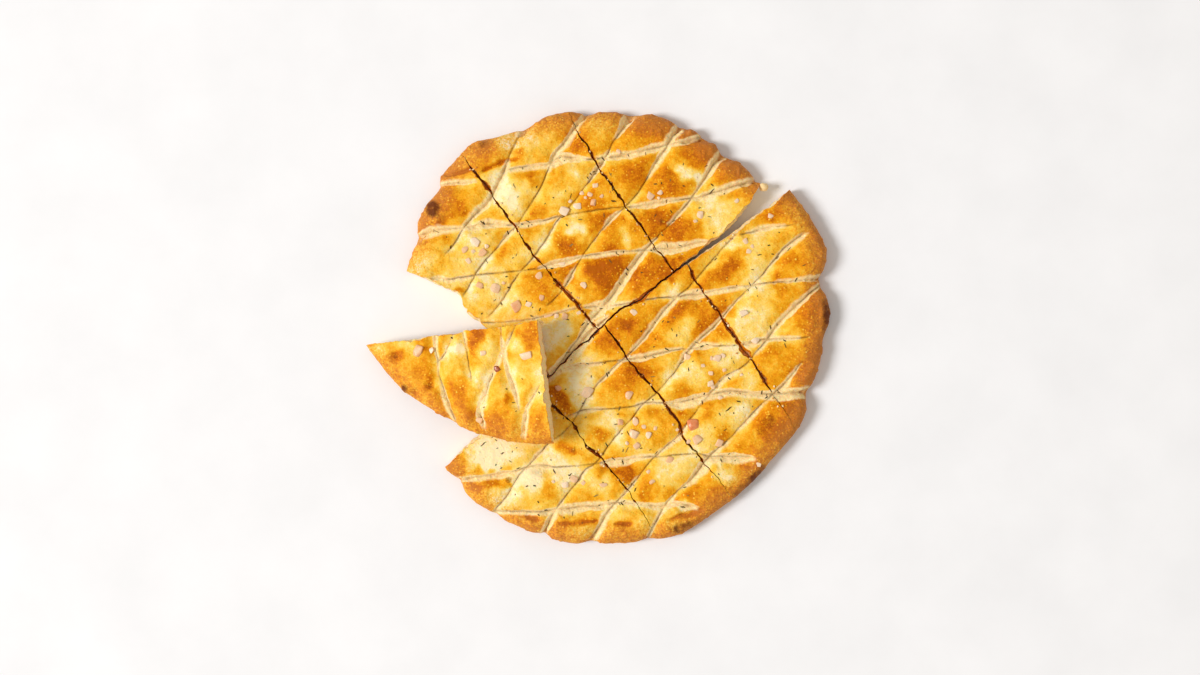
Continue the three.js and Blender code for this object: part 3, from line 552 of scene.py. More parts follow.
def slash_marks(dough, plan):
    """Depth of the slashes, shares of crumb, of painted shade in the crevice and along the crease, and of
    pale lip with painted light, and distance to a slash.
    """
    groove, crumb, crevice_shade, crease, pale_and_lit_lip = np.zeros((5, len(plan)))
    near = np.full(len(plan), FAR_FROM_SLASH)
    wander = unevenness(plan, SLASH_WANDER, dough.seed)
    breadth = 1 + unevenness(plan, SLASH_BREADTH, dough.seed)
    dark = smooth(noise(plan, 7, dough.seed + 22), -0.5, 0.5)
    soft = smooth(noise(plan, 22, dough.seed + 28), -0.3, 0.3)
    notch = 1 - smooth(dough.inset(plan), *NOTCH_REACH)
    for points in dough.slashes:
        right, from_end, width = beside_slash(plan, points)
        right = right + wander
        steep_side = right < 0
        opened = smooth(from_end, -1, SLASH_TAPER)
        gape = np.maximum(NARROWEST, width * breadth)
        bank = np.maximum(NARROWEST_BANK, gape * np.where(steep_side, STEEP_SHARE, 1 - STEEP_SHARE))
        beyond = np.abs(right) - bank
        core = np.clip(-beyond / bank, 0, 1)
        depth = np.minimum(SLASH_DEPTH, SHALLOW_DEPTH + DEPTH_PER_WIDTH * gape)
        depth = depth * (1 + notch * smooth(gape, 1.5, 4))
        drop_here = LIP_DROP * np.minimum(1, 0.35 + 0.2 * gape)
        slope = drop_here * (1 - smooth(beyond, 0, LIP_REACH)) * mix(STEEP_LIP, 1, smooth(right, -1, 1))
        groove = np.maximum(groove, opened * (slope + core * (0.75 + 0.25 * core) * depth))
        fade = np.where(right > 0, mix(0.3, 2.2, soft), mix(2.2, 0.3, soft))
        crumb = np.maximum(crumb, opened * smooth(gape, 0.9, 1.8) * (1 - smooth(beyond, -0.5, fade)))
        # Painted shade in the hollow of the slash, wider on the steep bank, taken for the shaded side
        crevice_shade = np.maximum(crevice_shade, opened * np.where(steep_side, core**0.6, core**2) * smooth(gape, 1, 3))
        # Painted shade: a dark line along the crease, strongest where the slash is tight
        tight = 1 - smooth(gape, 1.2, 3.2)
        line = opened * np.exp(-((right / 0.5) ** 2))
        crease = np.maximum(crease, line * mix(0.6 * dark, 0.4 + 0.45 * dark, tight))
        # Paler lips beside the slash, less so on the steep bank: real paleness, with painted light on the
        # flat bank and painted shade on the steep one
        pale_and_lit_lip = np.maximum(pale_and_lit_lip, opened * np.where(steep_side, 0.4, 1) * (1 - smooth(beyond, 0.2, 4)))
        near = np.minimum(near, np.maximum(beyond, 0) + 9 * (1 - opened))
    return groove, crumb, crevice_shade, crease, pale_and_lit_lip, near


def fold_marks(dough, plan):
    """How far the rim is folded in at points of the plan, from 0 to 1."""
    fold = np.zeros(len(plan))
    wander = unevenness(plan, FOLD_WANDER, dough.seed)
    for points in dough.folds:
        right, from_end, half = beside_slash(plan, points)
        fold = np.maximum(fold, smooth(from_end, -1, 4) * np.exp(-(((right + wander) / half) ** 2)))
    return fold


def marks_of(dough, plan):
    """How the top looks at points of the plan: its rise, and shares of brown, crumb, painted shade along the
    creases and in the crevices, and burn.
    """
    seed = dough.seed
    inset = dough.inset(plan)
    groove, crumb, crevice_shade, crease, pale_and_lit_lip, near = slash_marks(dough, plan)
    fold = fold_marks(dough, plan)
    rim = 1 - smooth(inset, *RIM_REACH)
    bent = plan
    for height, size, own in SPOT_BENDS:
        bent = bent + height * np.column_stack([noise(plan, size, seed + own + axis) for axis in (0, 1)])
    spots = near_places(bent, dough.browned, 1.3)
    marked = np.tanh(1.5 * spots) * np.where(spots > 0, SPOT_BROWN * dough.toast, SPOT_PALE)
    patchy = 0.1 * layered_noise(bent, 13, seed + 10) + 0.05 * layered_noise(plan, 3.4, seed + 14, 2)
    # Paler beside the slash lips: real paleness, with painted light where the flat bank is fully pale
    pale_and_lit_margin = pale_and_lit_lip * smooth(noise(plan, 17, seed + 27), -0.8, 0.3) * (1 - 0.7 * rim)
    facing = np.cos(np.radians(dough.turn(plan) - BROWNEST_TURN))
    edge = rim * (RIM_BROWN + RIM_BROWN_SWING * facing) + EDGE_BROWN * (1 - smooth(inset, *EDGE_REACH))
    brown = BASE_BROWN + marked + patchy - LIP_PALE_AND_LIT * pale_and_lit_margin + edge * dough.toast + FOLD_BROWN * fold
    charred = near_places(plan, dough.burnt, 2.2)
    burn = np.clip(charred * (0.9 + 0.45 * noise(plan, 2.6, seed + 16)), 0, 1) * (1 - 0.8 * crumb)
    pillow = 1 - (1 - smooth(near, *PILLOW_REACH)) ** 2
    blister = np.maximum(0, noise(plan, BLISTER_SIZE, seed + 9) - 0.2) * mix(*BLISTER_RISE, rim) * (1 - crumb)
    rise = SWELL * (pillow - 0.5) + unevenness(plan, TOP_RELIEF, seed) + blister + BURN_RISE * burn
    rise += crumb * unevenness(plan, CRUMB_RELIEF, seed)
    rise -= near_places(plan, dough.dimples) + FOLD_DEPTH * fold
    return {
        "rise": rise, "groove": groove, "baked": brown, "rim": rim * dough.toast,
        "crumb": crumb, "crevice_shade": crevice_shade, "crease": crease, "burn": burn,
    }


def ring_triangles(rings):
    """Triangles of a disc whose middle is point 0 and whose ring k has 6k points."""
    def starts(ring):
        return 1 + 3 * ring * (ring - 1)

    triangles = [np.array([[0, 1 + side, 1 + (side + 1) % 6] for side in range(6)])]
    for ring in range(1, rings):
        sector, place = np.divmod(np.arange(6 * ring), ring)
        inner = starts(ring) + np.arange(6 * ring)
        inner_next = starts(ring) + (np.arange(6 * ring) + 1) % (6 * ring)
        outer = sector * (ring + 1) + place
        outer_count = 6 * (ring + 1)
        outer_a = starts(ring + 1) + outer
        outer_b = starts(ring + 1) + (outer + 1) % outer_count
        triangles.append(np.column_stack([inner, outer_a, outer_b]))
        triangles.append(np.column_stack([inner, outer_b, inner_next]))
        corners = np.arange(6)
        corner_outer = starts(ring + 1) + (corners * (ring + 1) + ring) % outer_count
        corner_next = starts(ring + 1) + ((corners + 1) * (ring + 1)) % outer_count
        corner_inner = starts(ring) + ((corners + 1) * ring) % (6 * ring)
        triangles.append(np.column_stack([corner_inner, corner_outer, corner_next]))
    return np.vstack(triangles)


def ring_places(rings):
    """Angle and share of the radius of each point of such a disc."""
    angles = [np.zeros(1)] + [2 * np.pi * np.arange(6 * ring) / (6 * ring) for ring in range(1, rings + 1)]
    shares = [np.zeros(1)] + [np.full(6 * ring, ring / rings) for ring in range(1, rings + 1)]
    return np.concatenate(angles), np.concatenate(shares)


def band_triangles(upper, lower):
    """Triangles between two closed rows of points that have the same count or three times as many above."""
    if len(upper) == len(lower):
        upper_next, lower_next = np.roll(upper, -1), np.roll(lower, -1)
        return np.vstack([
            np.column_stack([upper, lower, lower_next]), np.column_stack([upper, lower_next, upper_next]),
        ])
    first, second, third = upper[0::3], upper[1::3], upper[2::3]
    lower_next = np.roll(lower, -1)
    return np.vstack([
        np.column_stack(corners)
        for corners in (
            (first, lower, second), (second, lower, lower_next),
            (second, lower_next, third), (third, lower_next, np.roll(first, -1)),
        )
    ])


def mesh_of(name, places, triangles):
    """A mesh in metres from points in millimetres."""
    mesh = bpy.data.meshes.new(name)
    mesh.vertices.add(len(places))
    mesh.vertices.foreach_set("co", (np.asarray(places) * MM).ravel())
    mesh.loops.add(triangles.size)
    mesh.loops.foreach_set("vertex_index", triangles.ravel())
    mesh.polygons.add(len(triangles))
    mesh.polygons.foreach_set("loop_start", np.arange(0, triangles.size, 3))
    mesh.update(calc_edges=True)
    mesh.validate()
    return mesh


def keep_values(mesh, values):
    """Named values, one for each vertex."""
    for name, value in values.items():
        mesh.attributes.new(name, "FLOAT", "POINT").data.foreach_set("value", value.astype(np.float32))


def shade_smoothly(mesh, sharp_degrees):
    mesh.polygons.foreach_set("use_smooth", np.ones(len(mesh.polygons), bool))
    mesh.set_sharp_from_angle(angle=math.radians(sharp_degrees))


def object_of(name, data):
    piece = bpy.data.objects.new(name, data)
    bpy.context.scene.collection.objects.link(piece)
    return piece


def side_curve():
    """Inset, height and outward normal at even steps down the loaf's side."""
    line = curve_through(SIDE, 0.25)
    steps = np.hypot(*np.diff(line, axis=0).T)
    length = np.concatenate([[0], np.cumsum(steps)])
    at = np.linspace(0, length[-1], int(length[-1] / SIDE_STEP) + 1)[1:]
    inset, height = (np.interp(at, length, line[:, axis]) for axis in (0, 1))
    out, up = -np.gradient(inset), np.gradient(height)
    size = np.hypot(out, up)
    return inset, height, -up / size, out / size


def loaf_mesh(name, dough):
    """The whole round, closed, with its relief."""
    angle, share = ring_places(TOP_RINGS)
    rim_angle = angle[-6 * TOP_RINGS:]
    inset, height, out, up = side_curve()
    rows = len(inset)
    turns = len(rim_angle)
    radius = dough.radius_at(np.degrees(angle))
    rim_radius = dough.radius_at(np.degrees(rim_angle))
    top_reach = share * (radius - SIDE_START)
    side_reach = (rim_radius[None, :] - inset[:, None]).ravel()
    angles = np.concatenate([angle, np.tile(rim_angle, rows)])
    reach = np.concatenate([top_reach, side_reach])
    level = np.concatenate([np.full(len(angle), float(TOP_HEIGHT)), np.repeat(height, turns)])
    normal_out = np.concatenate([np.zeros(len(angle)), np.repeat(out, turns)])
    normal_up = np.concatenate([np.ones(len(angle)), np.repeat(up, turns)])
    spoke = np.column_stack([np.cos(angles), np.sin(angles)])
    plan = dough.centre + spoke * reach[:, None]
    marks = marks_of(dough, plan)
    upper = smooth(level, 1.5, 8)
    lower_grain = 0.5 * noise(np.column_stack([plan, level]), 7, dough.seed + 20)
    shift = marks["rise"] * mix(0.15, 1, upper) - marks["groove"] * upper
    shift += lower_grain * (1 - upper) * (level > 0)
    places = np.column_stack([plan + spoke * (shift * normal_out)[:, None], level + shift * normal_up])
    places[:, 2] = np.maximum(places[:, 2], 0)
    under_angle, under_share = ring_places(UNDER_RINGS)
    under_reach = under_share * (dough.radius_at(np.degrees(under_angle)) - SIDE[-1][0] - SIDE_STEP)
    under_spoke = np.column_stack([np.cos(under_angle), np.sin(under_angle)])
    under_plan = dough.centre + under_spoke * under_reach[:, None]
    under = np.column_stack([under_plan, np.zeros(len(under_plan))])
    top_count = len(angle)
    side_rows = [np.arange(top_count - turns, top_count)]
    side_rows += [top_count + row * turns + np.arange(turns) for row in range(rows)]
    under_start = top_count + rows * turns
    under_rim = under_start + len(under) - 6 * UNDER_RINGS + np.arange(6 * UNDER_RINGS)
    bands = [band_triangles(a, b) for a, b in zip(side_rows, side_rows[1:])]
    bands.append(band_triangles(side_rows[-1], under_rim))
    triangles = np.vstack([
        ring_triangles(TOP_RINGS), *bands, under_start + ring_triangles(UNDER_RINGS)[:, ::-1],
    ])
    return mesh_of(name, np.vstack([places, under]), triangles)


def knife_path(points):
    """A knife's path at even steps, wobbling as it cuts, and its normals to the right."""
    points = np.array(points, float)
    length = np.concatenate([[0], np.cumsum(np.hypot(*np.diff(points, axis=0).T))])
    at = np.linspace(0, length[-1], int(length[-1] / CUT_STEP) + 1)
    path = np.column_stack([np.interp(at, length, points[:, axis]) for axis in (0, 1)])
    tangent = np.gradient(path, axis=0)
    normal = np.column_stack([tangent[:, 1], -tangent[:, 0]]) / np.hypot(*tangent.T)[:, None]
    wobble = unevenness(path, KNIFE_WOBBLE) * np.sign(normal[:, 0])
    return path + normal * wobble[:, None], normal


def anticlockwise(outline):
    """1 for an outline that runs anticlockwise, and -1 for the other way."""
    ahead = np.roll(outline, -1, axis=0)
    return np.sign((outline[:, 0] * ahead[:, 1] - ahead[:, 0] * outline[:, 1]).sum())


def wall_piece(name, dough, paths, undercut):
    """A closed upright cutter round paths, each with how crumbly its wall is, and 0 for far corners."""
    outline, normals, grain = [], [], []
    for points, crumbly in paths:
        corners = np.array(points, float)
        path, normal = knife_path(points) if crumbly else (corners, np.zeros_like(corners))
        outline.append(path)
        normals.append(normal)
        grain.append(np.full(len(path), float(crumbly)))
    outline, normals, grain = np.vstack(outline), np.vstack(normals), np.concatenate(grain)
    way = anticlockwise(outline)
    count = len(outline)
    tight = mix(RIM_SHARE, 1, smooth(dough.inset(outline), *RIM_CLOSING))
    spread = KERF / 2 + CUT_SPREAD * smooth(noise(outline, 9, 44), -0.2, 0.8)
    spread += CUT_CHIP * smooth(noise(outline, 2.4, 46), 0.1, 0.8) + near_places(outline, CHIPPED)
    spread = np.maximum(spread, LEAST_SPREAD)
    rows = []
    for height in CUT_LEVELS:
        here = np.column_stack([outline, np.full(count, height)])
        rough = grain * (smooth(noise(here, 1.7, 41), -0.2, 1) + smooth(noise(here, 3.1, 42), 0, 1))
        opening = smooth(height, CUT_FLOOR, TOP_HEIGHT)
        lean = undercut * (1 - np.clip(height / TOP_HEIGHT, 0, 1.15))
        inward = CUT_CLEARANCE + (spread * opening + rough) * tight + lean
        moved = outline - normals * (way * inward)[:, None]
        rows.append(np.column_stack([moved, here[:, 2]])[::int(way)])
    mesh = bpy.data.meshes.new(name)
    top = (len(rows) - 1) * count
    walls = [
        (low + i, low + (i + 1) % count, low + count + (i + 1) % count, low + count + i)
        for low in range(0, top, count) for i in range(count)
    ]
    faces = [*walls, tuple(range(count - 1, -1, -1)), tuple(range(top, top + count))]
    mesh.from_pydata((np.vstack(rows) * MM).tolist(), [], faces)
    mesh.validate()
    return object_of(name, mesh)


def shared(name, body, cutter):
    """What a body and a cutter have in common, as a mesh. Its cut faces take the second material."""
    cut = body.modifiers.new("cut", "BOOLEAN")
    cut.operation = "INTERSECT"
    cut.solver = "MANIFOLD"
    cut.object = cutter
    result = body.evaluated_get(bpy.context.evaluated_depsgraph_get())
    mesh = bpy.data.meshes.new_from_object(result)
    mesh.name = name
    body.modifiers.remove(cut)
    return mesh


def drop(*pieces):
    for piece in pieces:
        bpy.data.objects.remove(piece)


def flag_cut_faces(mesh):
    """Shares of cut faces round each vertex."""
    cut = np.zeros(len(mesh.polygons))
    mesh.polygons.foreach_get("material_index", cut)
    corners = np.zeros(len(mesh.loops), np.int32)
    mesh.loops.foreach_get("vertex_index", corners)
    sizes = np.zeros(len(mesh.polygons), np.int32)
    mesh.polygons.foreach_get("loop_total", sizes)
    per_corner = np.repeat(cut, sizes)
    total = np.bincount(corners, per_corner, len(mesh.vertices))
    return total / np.maximum(1, np.bincount(corners, minlength=len(mesh.vertices)))


def places_of(mesh):
    places = np.zeros(len(mesh.vertices) * 3)
    mesh.vertices.foreach_get("co", places)
    return places.reshape(-1, 3) / MM


def base_height(inset):
    """Height of the bare top at a distance in from the outline."""
    insets, heights = np.array([pair for pair in SIDE if pair[1] >= WIDEST_HEIGHT][::-1], float).T
    return np.interp(inset, insets, heights)


def top_height(dough, plan, marks=None):
    """Height of the top at points of the plan."""
    marks = marks or marks_of(dough, plan)
    return base_height(dough.inset(plan)) + marks["rise"] - marks["groove"]


def beside_open_cut(dough, plan):
    """1 beside a cut that gapes, and 0 a little away from it."""
    nearest = np.full(len(plan), np.inf)
    for x, y in np.vstack([knife_path(points)[0] for points in dough.open_cuts]):
        nearest = np.minimum(nearest, (plan[:, 0] - x) ** 2 + (plan[:, 1] - y) ** 2)
    return 1 - smooth(np.sqrt(nearest), 0.5 * OPEN_REACH, OPEN_REACH)


def colour_slice(mesh, dough):
    """Marks of the crust and the crumb, with painted shade in the slashes and on the walls of narrow cuts,
    kept on the vertices.
    """
    places = places_of(mesh)
    plan, level = places[:, :2], places[:, 2]
    marks = marks_of(dough, plan)
    wall = flag_cut_faces(mesh)
    below_top = top_height(dough, plan, marks) - level
    upper = smooth(level, 3, 9)
    skin = np.maximum(np.exp(-((below_top / 1.8) ** 2)), np.exp(-((level / 0.7) ** 2)))
    side = SIDE_BROWN + 0.12 * layered_noise(places, 9, dough.seed + 30)
    baked = mix(side, marks["baked"], upper)
    gaping = beside_open_cut(dough, plan)
    # Painted shade: walls of narrow cuts are browner and less crumbly than those of gaping cuts
    baked = mix(baked, mix(NARROW_CUT_SHADE_BROWN, OPEN_BROWN, gaping), wall)
    cut_crumb_and_shade = (1 - 0.75 * skin) * mix(NARROW_CUT_SHADE_CRUMB, 1, gaping)
    crumb = mix(marks["crumb"] * upper, cut_crumb_and_shade, smooth(wall, 0.3, 0.9))
    keep_values(mesh, {
        "baked": baked,
        "rim": marks["rim"] * (1 - wall),
        "crumb": crumb,
        # Painted shade in the crevices of the slashes and along their creases
        "crevice_shade": marks["crevice_shade"] * upper * (1 - wall),
        "crease": marks["crease"] * upper * (1 - wall),
        "burn": marks["burn"] * (1 - wall),
    })


def finish_slice(name, mesh, dough, place, crust):
    """A slice as a piece that stands for its node."""
    colour_slice(mesh, dough)
    mesh.transform(place)
    mesh.materials.clear()
    mesh.materials.append(crust)
    mesh.polygons.foreach_set("material_index", np.zeros(len(mesh.polygons), np.int32))
    shade_smoothly(mesh, SLICE_SHARP)
    mesh.update()
    piece = object_of(name + "_bread", mesh)
    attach(piece, BODY)
    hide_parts(name)


def linear(red, green, blue):
    """A shown colour from 0 to 255 as the colour that a shader takes."""
    shown = np.array([red, green, blue]) / 255
    light = np.where(shown <= 0.04045, shown / 12.92, ((shown + 0.055) / 1.055) ** 2.4)
    return (*light, 1)


class Shading:
    """A material's nodes, made one by one."""

    def __init__(self, name):
        self.material = bpy.data.materials.new(name)
        self.material.use_nodes = True
        self.tree = self.material.node_tree
        self.surface = self.tree.nodes["Principled BSDF"]
        self.place = self.node("TexCoord").outputs["Object"]

    def node(self, kind, **settings):
        made = self.tree.nodes.new("ShaderNode" + kind)
        for name, value in settings.items():
            setattr(made, name, value)
        return made

    def set(self, socket, value):
        if isinstance(value, bpy.types.NodeSocket):
            self.tree.links.new(value, socket)
        else:
            socket.default_value = value

    def attribute(self, name):
        return self.node("Attribute", attribute_name=name).outputs["Fac"]

    def maths(self, operation, first, second):
        made = self.node("Math", operation=operation)
        self.set(made.inputs[0], first)
        self.set(made.inputs[1], second)
        return made.outputs[0]

    def add(self, first, second):
        return self.maths("ADD", first, second)

    def times(self, first, second):
        return self.maths("MULTIPLY", first, second)

    def noise(self, size, detail=3.0, roughness=0.55):
        """Noise from 0 to 1 with features of that size in millimetres."""
        made = self.node("TexNoise")
        self.set(made.inputs["Vector"], self.place)
        made.inputs["Scale"].default_value = 1 / (size * MM)
        made.inputs["Detail"].default_value = detail
        made.inputs["Roughness"].default_value = roughness
        return made.outputs["Fac"]

    def cells(self, size):
        """Distance from the middle of the nearest of many cells, in cells."""
        made = self.node("TexVoronoi")
        self.set(made.inputs["Vector"], self.place)
        made.inputs["Scale"].default_value = 1 / (size * MM)
        return made.outputs["Distance"]

    def ranged(self, value, low, high, to_low=0.0, to_high=1.0):
        made = self.node("MapRange")
        for socket, number in zip(made.inputs, (value, low, high, to_low, to_high)):
            self.set(socket, number)
        return made.outputs[0]

    def ramp(self, share, stops):
        made = self.node("ValToRGB")
        self.set(made.inputs[0], share)
        elements = made.color_ramp.elements
        while len(elements) < len(stops):
            elements.new(0.5)
        for element, (position, colour) in zip(elements, stops):
            element.position = position
            element.color = linear(*colour)
        return made.outputs[0]

    def blend(self, share, low, high):
        made = self.node("Mix", data_type="RGBA")
        self.set(made.inputs[0], share)
        self.set(made.inputs[6], low)
        self.set(made.inputs[7], high)
        return made.outputs[2]

    def look(self, **values):
        """Values or sockets for the surface's own sockets, named with _ for spaces."""
        for name, value in values.items():
            self.set(self.surface.inputs[name.replace("_", " ")], value)

    def bump(self, height, distance, strength):
        made = self.node("Bump")
        self.set(made.inputs["Height"], height)
        made.inputs["Distance"].default_value = distance * MM
        made.inputs["Strength"].default_value = strength
        self.tree.links.new(made.outputs[0], self.surface.inputs["Normal"])


def crust_material():
    """Baked crust from pale yellow to burnt, with crumb in the slashes and on the cut faces, and painted
    shade in the crevices and creases of the slashes.
    """
    shading = Shading("baked_crust")
    add, times, ranged, blend = shading.add, shading.times, shading.ranged, shading.blend
    # On the walls of narrow cuts, baked and crumb also carry painted shade
    baked, rim, crumb = (shading.attribute(name) for name in ("baked", "rim", "crumb"))
    mottle = shading.noise(3.4, 5, 0.6)
    grain = shading.noise(0.9, 3)
    dots = ranged(shading.cells(2.2), 0.14, 0.36, 1.0, 0.0)
    warmth = add(baked, ranged(mottle, 0.25, 0.75, -0.12, 0.12))
    warmth = add(warmth, ranged(grain, 0.2, 0.8, -0.09, 0.09))
    speckle = ranged(shading.noise(1.1, 2), 0.3, 0.7, -0.22, 0.22)
    flecks = ranged(shading.noise(2.4, 4, 0.7), 0.5, 0.68, 0.0, 0.32)
    toasted = shading.maths("MAXIMUM", rim, ranged(baked, 0.46, 0.7, 0.0, 0.45))
    warmth = add(warmth, times(add(speckle, flecks), toasted))
    blistered = times(ranged(baked, 0.4, 0.6), ranged(mottle, 0.45, 0.58, 0.0, 0.46))
    warmth = shading.maths("SUBTRACT", warmth, times(dots, blistered))
    crust = shading.ramp(shading.maths("MINIMUM", warmth, DARKEST_BROWN), CRUST_COLOURS)
    crust = blend(times(rim, ranged(grain, 0.3, 0.7, 0.2, 0.6)), crust, linear(*RIM_COLOUR))
    pores = shading.noise(1.3, 4, 0.65)
    torn = shading.ramp(pores, CRUMB_COLOURS)
    torn = blend(ranged(mottle, 0.35, 0.7, 0.0, 0.35), torn, linear(*CRUMB_STAIN))
    # Painted shade in the crevices of the slashes
    crevice_shade = times(shading.attribute("crevice_shade"), ranged(mottle, 0.35, 0.7, 0.0, 0.6))
    torn = blend(crevice_shade, torn, linear(*CREVICE_SHADE_COLOUR))
    crumb_share = ranged(add(crumb, ranged(mottle, 0.3, 0.7, -0.22, 0.22)), 0.2, 0.95)
    colour = blend(crumb_share, crust, torn)
    # Painted shade along the creases of the slashes
    crease = times(shading.attribute("crease"), ranged(grain, 0.3, 0.6, 0.6, 1.0))
    colour = blend(crease, colour, linear(*CREASE_SHADE_COLOUR))
    burn = add(shading.attribute("burn"), ranged(grain, 0.3, 0.7, -0.15, 0.15))
    colour = blend(ranged(burn, 0.12, 0.9, 0.0, 0.9), colour, linear(*BURNT_COLOUR))
    shading.look(
        Base_Color=colour,
        Roughness=ranged(crumb_share, 0.0, 1.0, ranged(mottle, 0.3, 0.7, 0.45, 0.62), 0.9),
        Specular_IOR_Level=0.08,
        Subsurface_Weight=0.3,
        Subsurface_Radius=(1.0, 0.5, 0.2),
        Subsurface_Scale=2 * MM,
    )
    relief = add(times(grain, 0.6), times(dots, 0.7))
    shading.bump(add(relief, times(pores, times(crumb, 1.5))), 0.3, 0.8)
    return shading.material


def salt_material():
    """Rock salt from clear white over pink to red-brown."""
    shading = Shading("rock_salt")
    cloudy = shading.noise(1.8, 3)
    tint = shading.add(shading.attribute("tint"), shading.ranged(cloudy, 0.25, 0.75, -0.1, 0.1))
    shading.look(
        Base_Color=shading.ramp(tint, SALT_COLOURS), Roughness=shading.ranged(cloudy, 0.3, 0.7, 0.16, 0.4),
        Transmission_Weight=0.12, IOR=1.4,
    )
    shading.bump(shading.noise(0.7, 3), 0.15, 0.5)
    return shading.material


def scrap_material(name, colours, roughness):
    """Matt scraps, each with its own place between the colours."""
    shading = Shading(name)
    grain = shading.noise(0.5, 3)
    tint = shading.add(shading.attribute("tint"), shading.ranged(grain, 0.25, 0.75, -0.2, 0.2))
    shading.look(Base_Color=shading.ramp(tint, colours), Roughness=roughness, Specular_IOR_Level=0.25)
    shading.bump(grain, 0.1, 0.6)
    return shading.material


def plain_floor():
    """A plain pale floor, wider than the view."""
    mesh = bpy.data.meshes.new("floor")
    corners = [(x * FLOOR_HALF, y * FLOOR_HALF, 0) for x, y in ((-1, -1), (1, -1), (1, 1), (-1, 1))]
    mesh.from_pydata(corners, [], [(0, 1, 2, 3)])
    shading = Shading("pale_floor")
    shading.look(Base_Color=shading.ramp(shading.noise(60, 4), FLOOR_COLOURS), Roughness=0.85)
    mesh.materials.append(shading.material)
    floor = object_of("floor", mesh)
    floor.location.z = -FLOOR_DROP


def soft_light():
    """One wide lamp that points at the middle."""
    lamp = bpy.data.lights.new("key", "AREA")
    lamp.shape = "DISK"
    lamp.size = KEY_SIZE
    lamp.energy = KEY_POWER
    holder = object_of("key", lamp)
    holder.location = KEY_PLACE
    holder.rotation_euler = (-Vector(KEY_PLACE)).to_track_quat("-Z", "Y").to_euler()


def studio():
    """Camera, soft light and pale surroundings."""
    scene = bpy.context.scene
    lens = bpy.data.cameras.new("camera")
    lens.lens = CAMERA_LENS
    lens.sensor_width = CAMERA_SENSOR
    camera = object_of("camera", lens)
    camera.location = Vector(CAMERA_PLACE) * MM
    scene.camera = camera
    world = bpy.data.worlds.new("studio")
    world.use_nodes = True
    backdrop = world.node_tree.nodes["Background"]
    backdrop.inputs["Color"].default_value = SKY_COLOUR
    backdrop.inputs["Strength"].default_value = SKY_STRENGTH
    scene.world = world
    scene.view_settings.view_transform = "Standard"
    soft_light()
    plain_floor()


def pulled_place(mesh):
    """How the pulled-out slice lies: tilted, with its lowest point on the ground."""
    turned = Matrix.Rotation(math.radians(-PULLED_TILT), 4, "Y")
    lowest = min((turned @ vertex.co).z for vertex in mesh.vertices)
    x, y = PULLED_PLACE
    return Matrix.Translation((x * MM, y * MM, -lowest)) @ turned


def pulled_sector():
    """Outline of the pulled-out slice: two knife cuts from its point, and far corners."""
    def ray(degrees, distance):
        angle = math.radians(degrees)
        return PULLED_POINT[0] + distance * math.cos(angle), PULLED_POINT[1] + distance * math.sin(angle)

    middle = (PULLED_LONG_SIDE + PULLED_SHORT_SIDE + 360) / 2
    long_side = (PULLED_POINT, ray(PULLED_LONG_SIDE, PULLED_REACH))
    short_side = (ray(PULLED_SHORT_SIDE, PULLED_REACH), PULLED_POINT)
    return (long_side, OPEN_GRAIN), ((ray(middle, FAR),), 0), (short_side, OPEN_GRAIN)


def ball(subdivisions):
    """Points of a unit ball's surface and its triangles."""
    shape = bmesh.new()
    bmesh.ops.create_icosphere(shape, subdivisions=subdivisions, radius=1)
    shape.verts.index_update()
    directions = np.array([vertex.co for vertex in shape.verts])
    triangles = np.array([[vertex.index for vertex in face.verts] for face in shape.faces])
    shape.free()
    return directions, triangles


def crystal(directions, draw):
    """A lump with worn facets, about 1 across."""
    facets = np.vstack([draw.normal(size=(SALT_FACETS, 3)), np.eye(3), -np.eye(3)])
    facets /= np.linalg.norm(facets, axis=1)[:, None]
    reach = np.concatenate([draw.uniform(*FACET_REACH, SALT_FACETS), draw.uniform(*FACE_REACH, 6)])
    steep = np.maximum(directions @ facets.T, 0) / reach
    return directions / (steep**SALT_SHARPNESS).sum(1)[:, None] ** (1 / SALT_SHARPNESS)


def turned(places, degrees):
    angle = np.radians(degrees)
    cosine, sine = np.cos(angle), np.sin(angle)
    x, y = places[:, 0] * cosine - places[:, 1] * sine, places[:, 0] * sine + places[:, 1] * cosine
    return np.column_stack([x, y, places[:, 2]])


def sliver(length, width, thickness, bend):
    """A thin pointed flake along X, bent upwards at its ends."""
    along = np.linspace(-1, 1, 7)
    half = 0.5 * width * (1 - 0.75 * along**2)
    rows = []
    for at, wide in zip(along, half):
        middle = (0.5 * length * at, 0.2 * width * np.sin(3 * at), bend * at * at)
        around = ((0, wide, 0), (0, 0, thickness), (0, -wide, 0), (0, 0, -thickness))
        rows += [np.add(middle, side) for side in around]
    faces = [(0, 1, 2), (0, 2, 3)]
    for start in range(0, 4 * (len(along) - 1), 4):
        for side in range(4):
            a, b = start + side, start + (side + 1) % 4
            faces += [(a, a + 4, b + 4), (a, b + 4, b)]
    last = 4 * (len(along) - 1)
    faces += [(last, last + 2, last + 1), (last, last + 3, last + 2)]
    return np.array(rows), np.array(faces)


class Scatter:
    """Many small things gathered into one mesh."""

    def __init__(self, name, material, slot):
        self.name = name
        self.material = material
        self.slot = slot
        self.places, self.triangles, self.tints = [], [], []
        self.count = 0

    def add(self, places, triangles, tint):
        self.places.append(places)
        self.triangles.append(triangles + self.count)
        self.tints.append(np.full(len(places), tint))
        self.count += len(places)

    def finish(self):
        mesh = mesh_of(self.name, np.vstack(self.places), np.vstack(self.triangles))
        keep_values(mesh, {"tint": np.concatenate(self.tints)})
        mesh.materials.append(self.material)
        shade_smoothly(mesh, SCRAP_SHARP)
        piece = object_of(self.name, mesh)
        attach(piece, BODY)


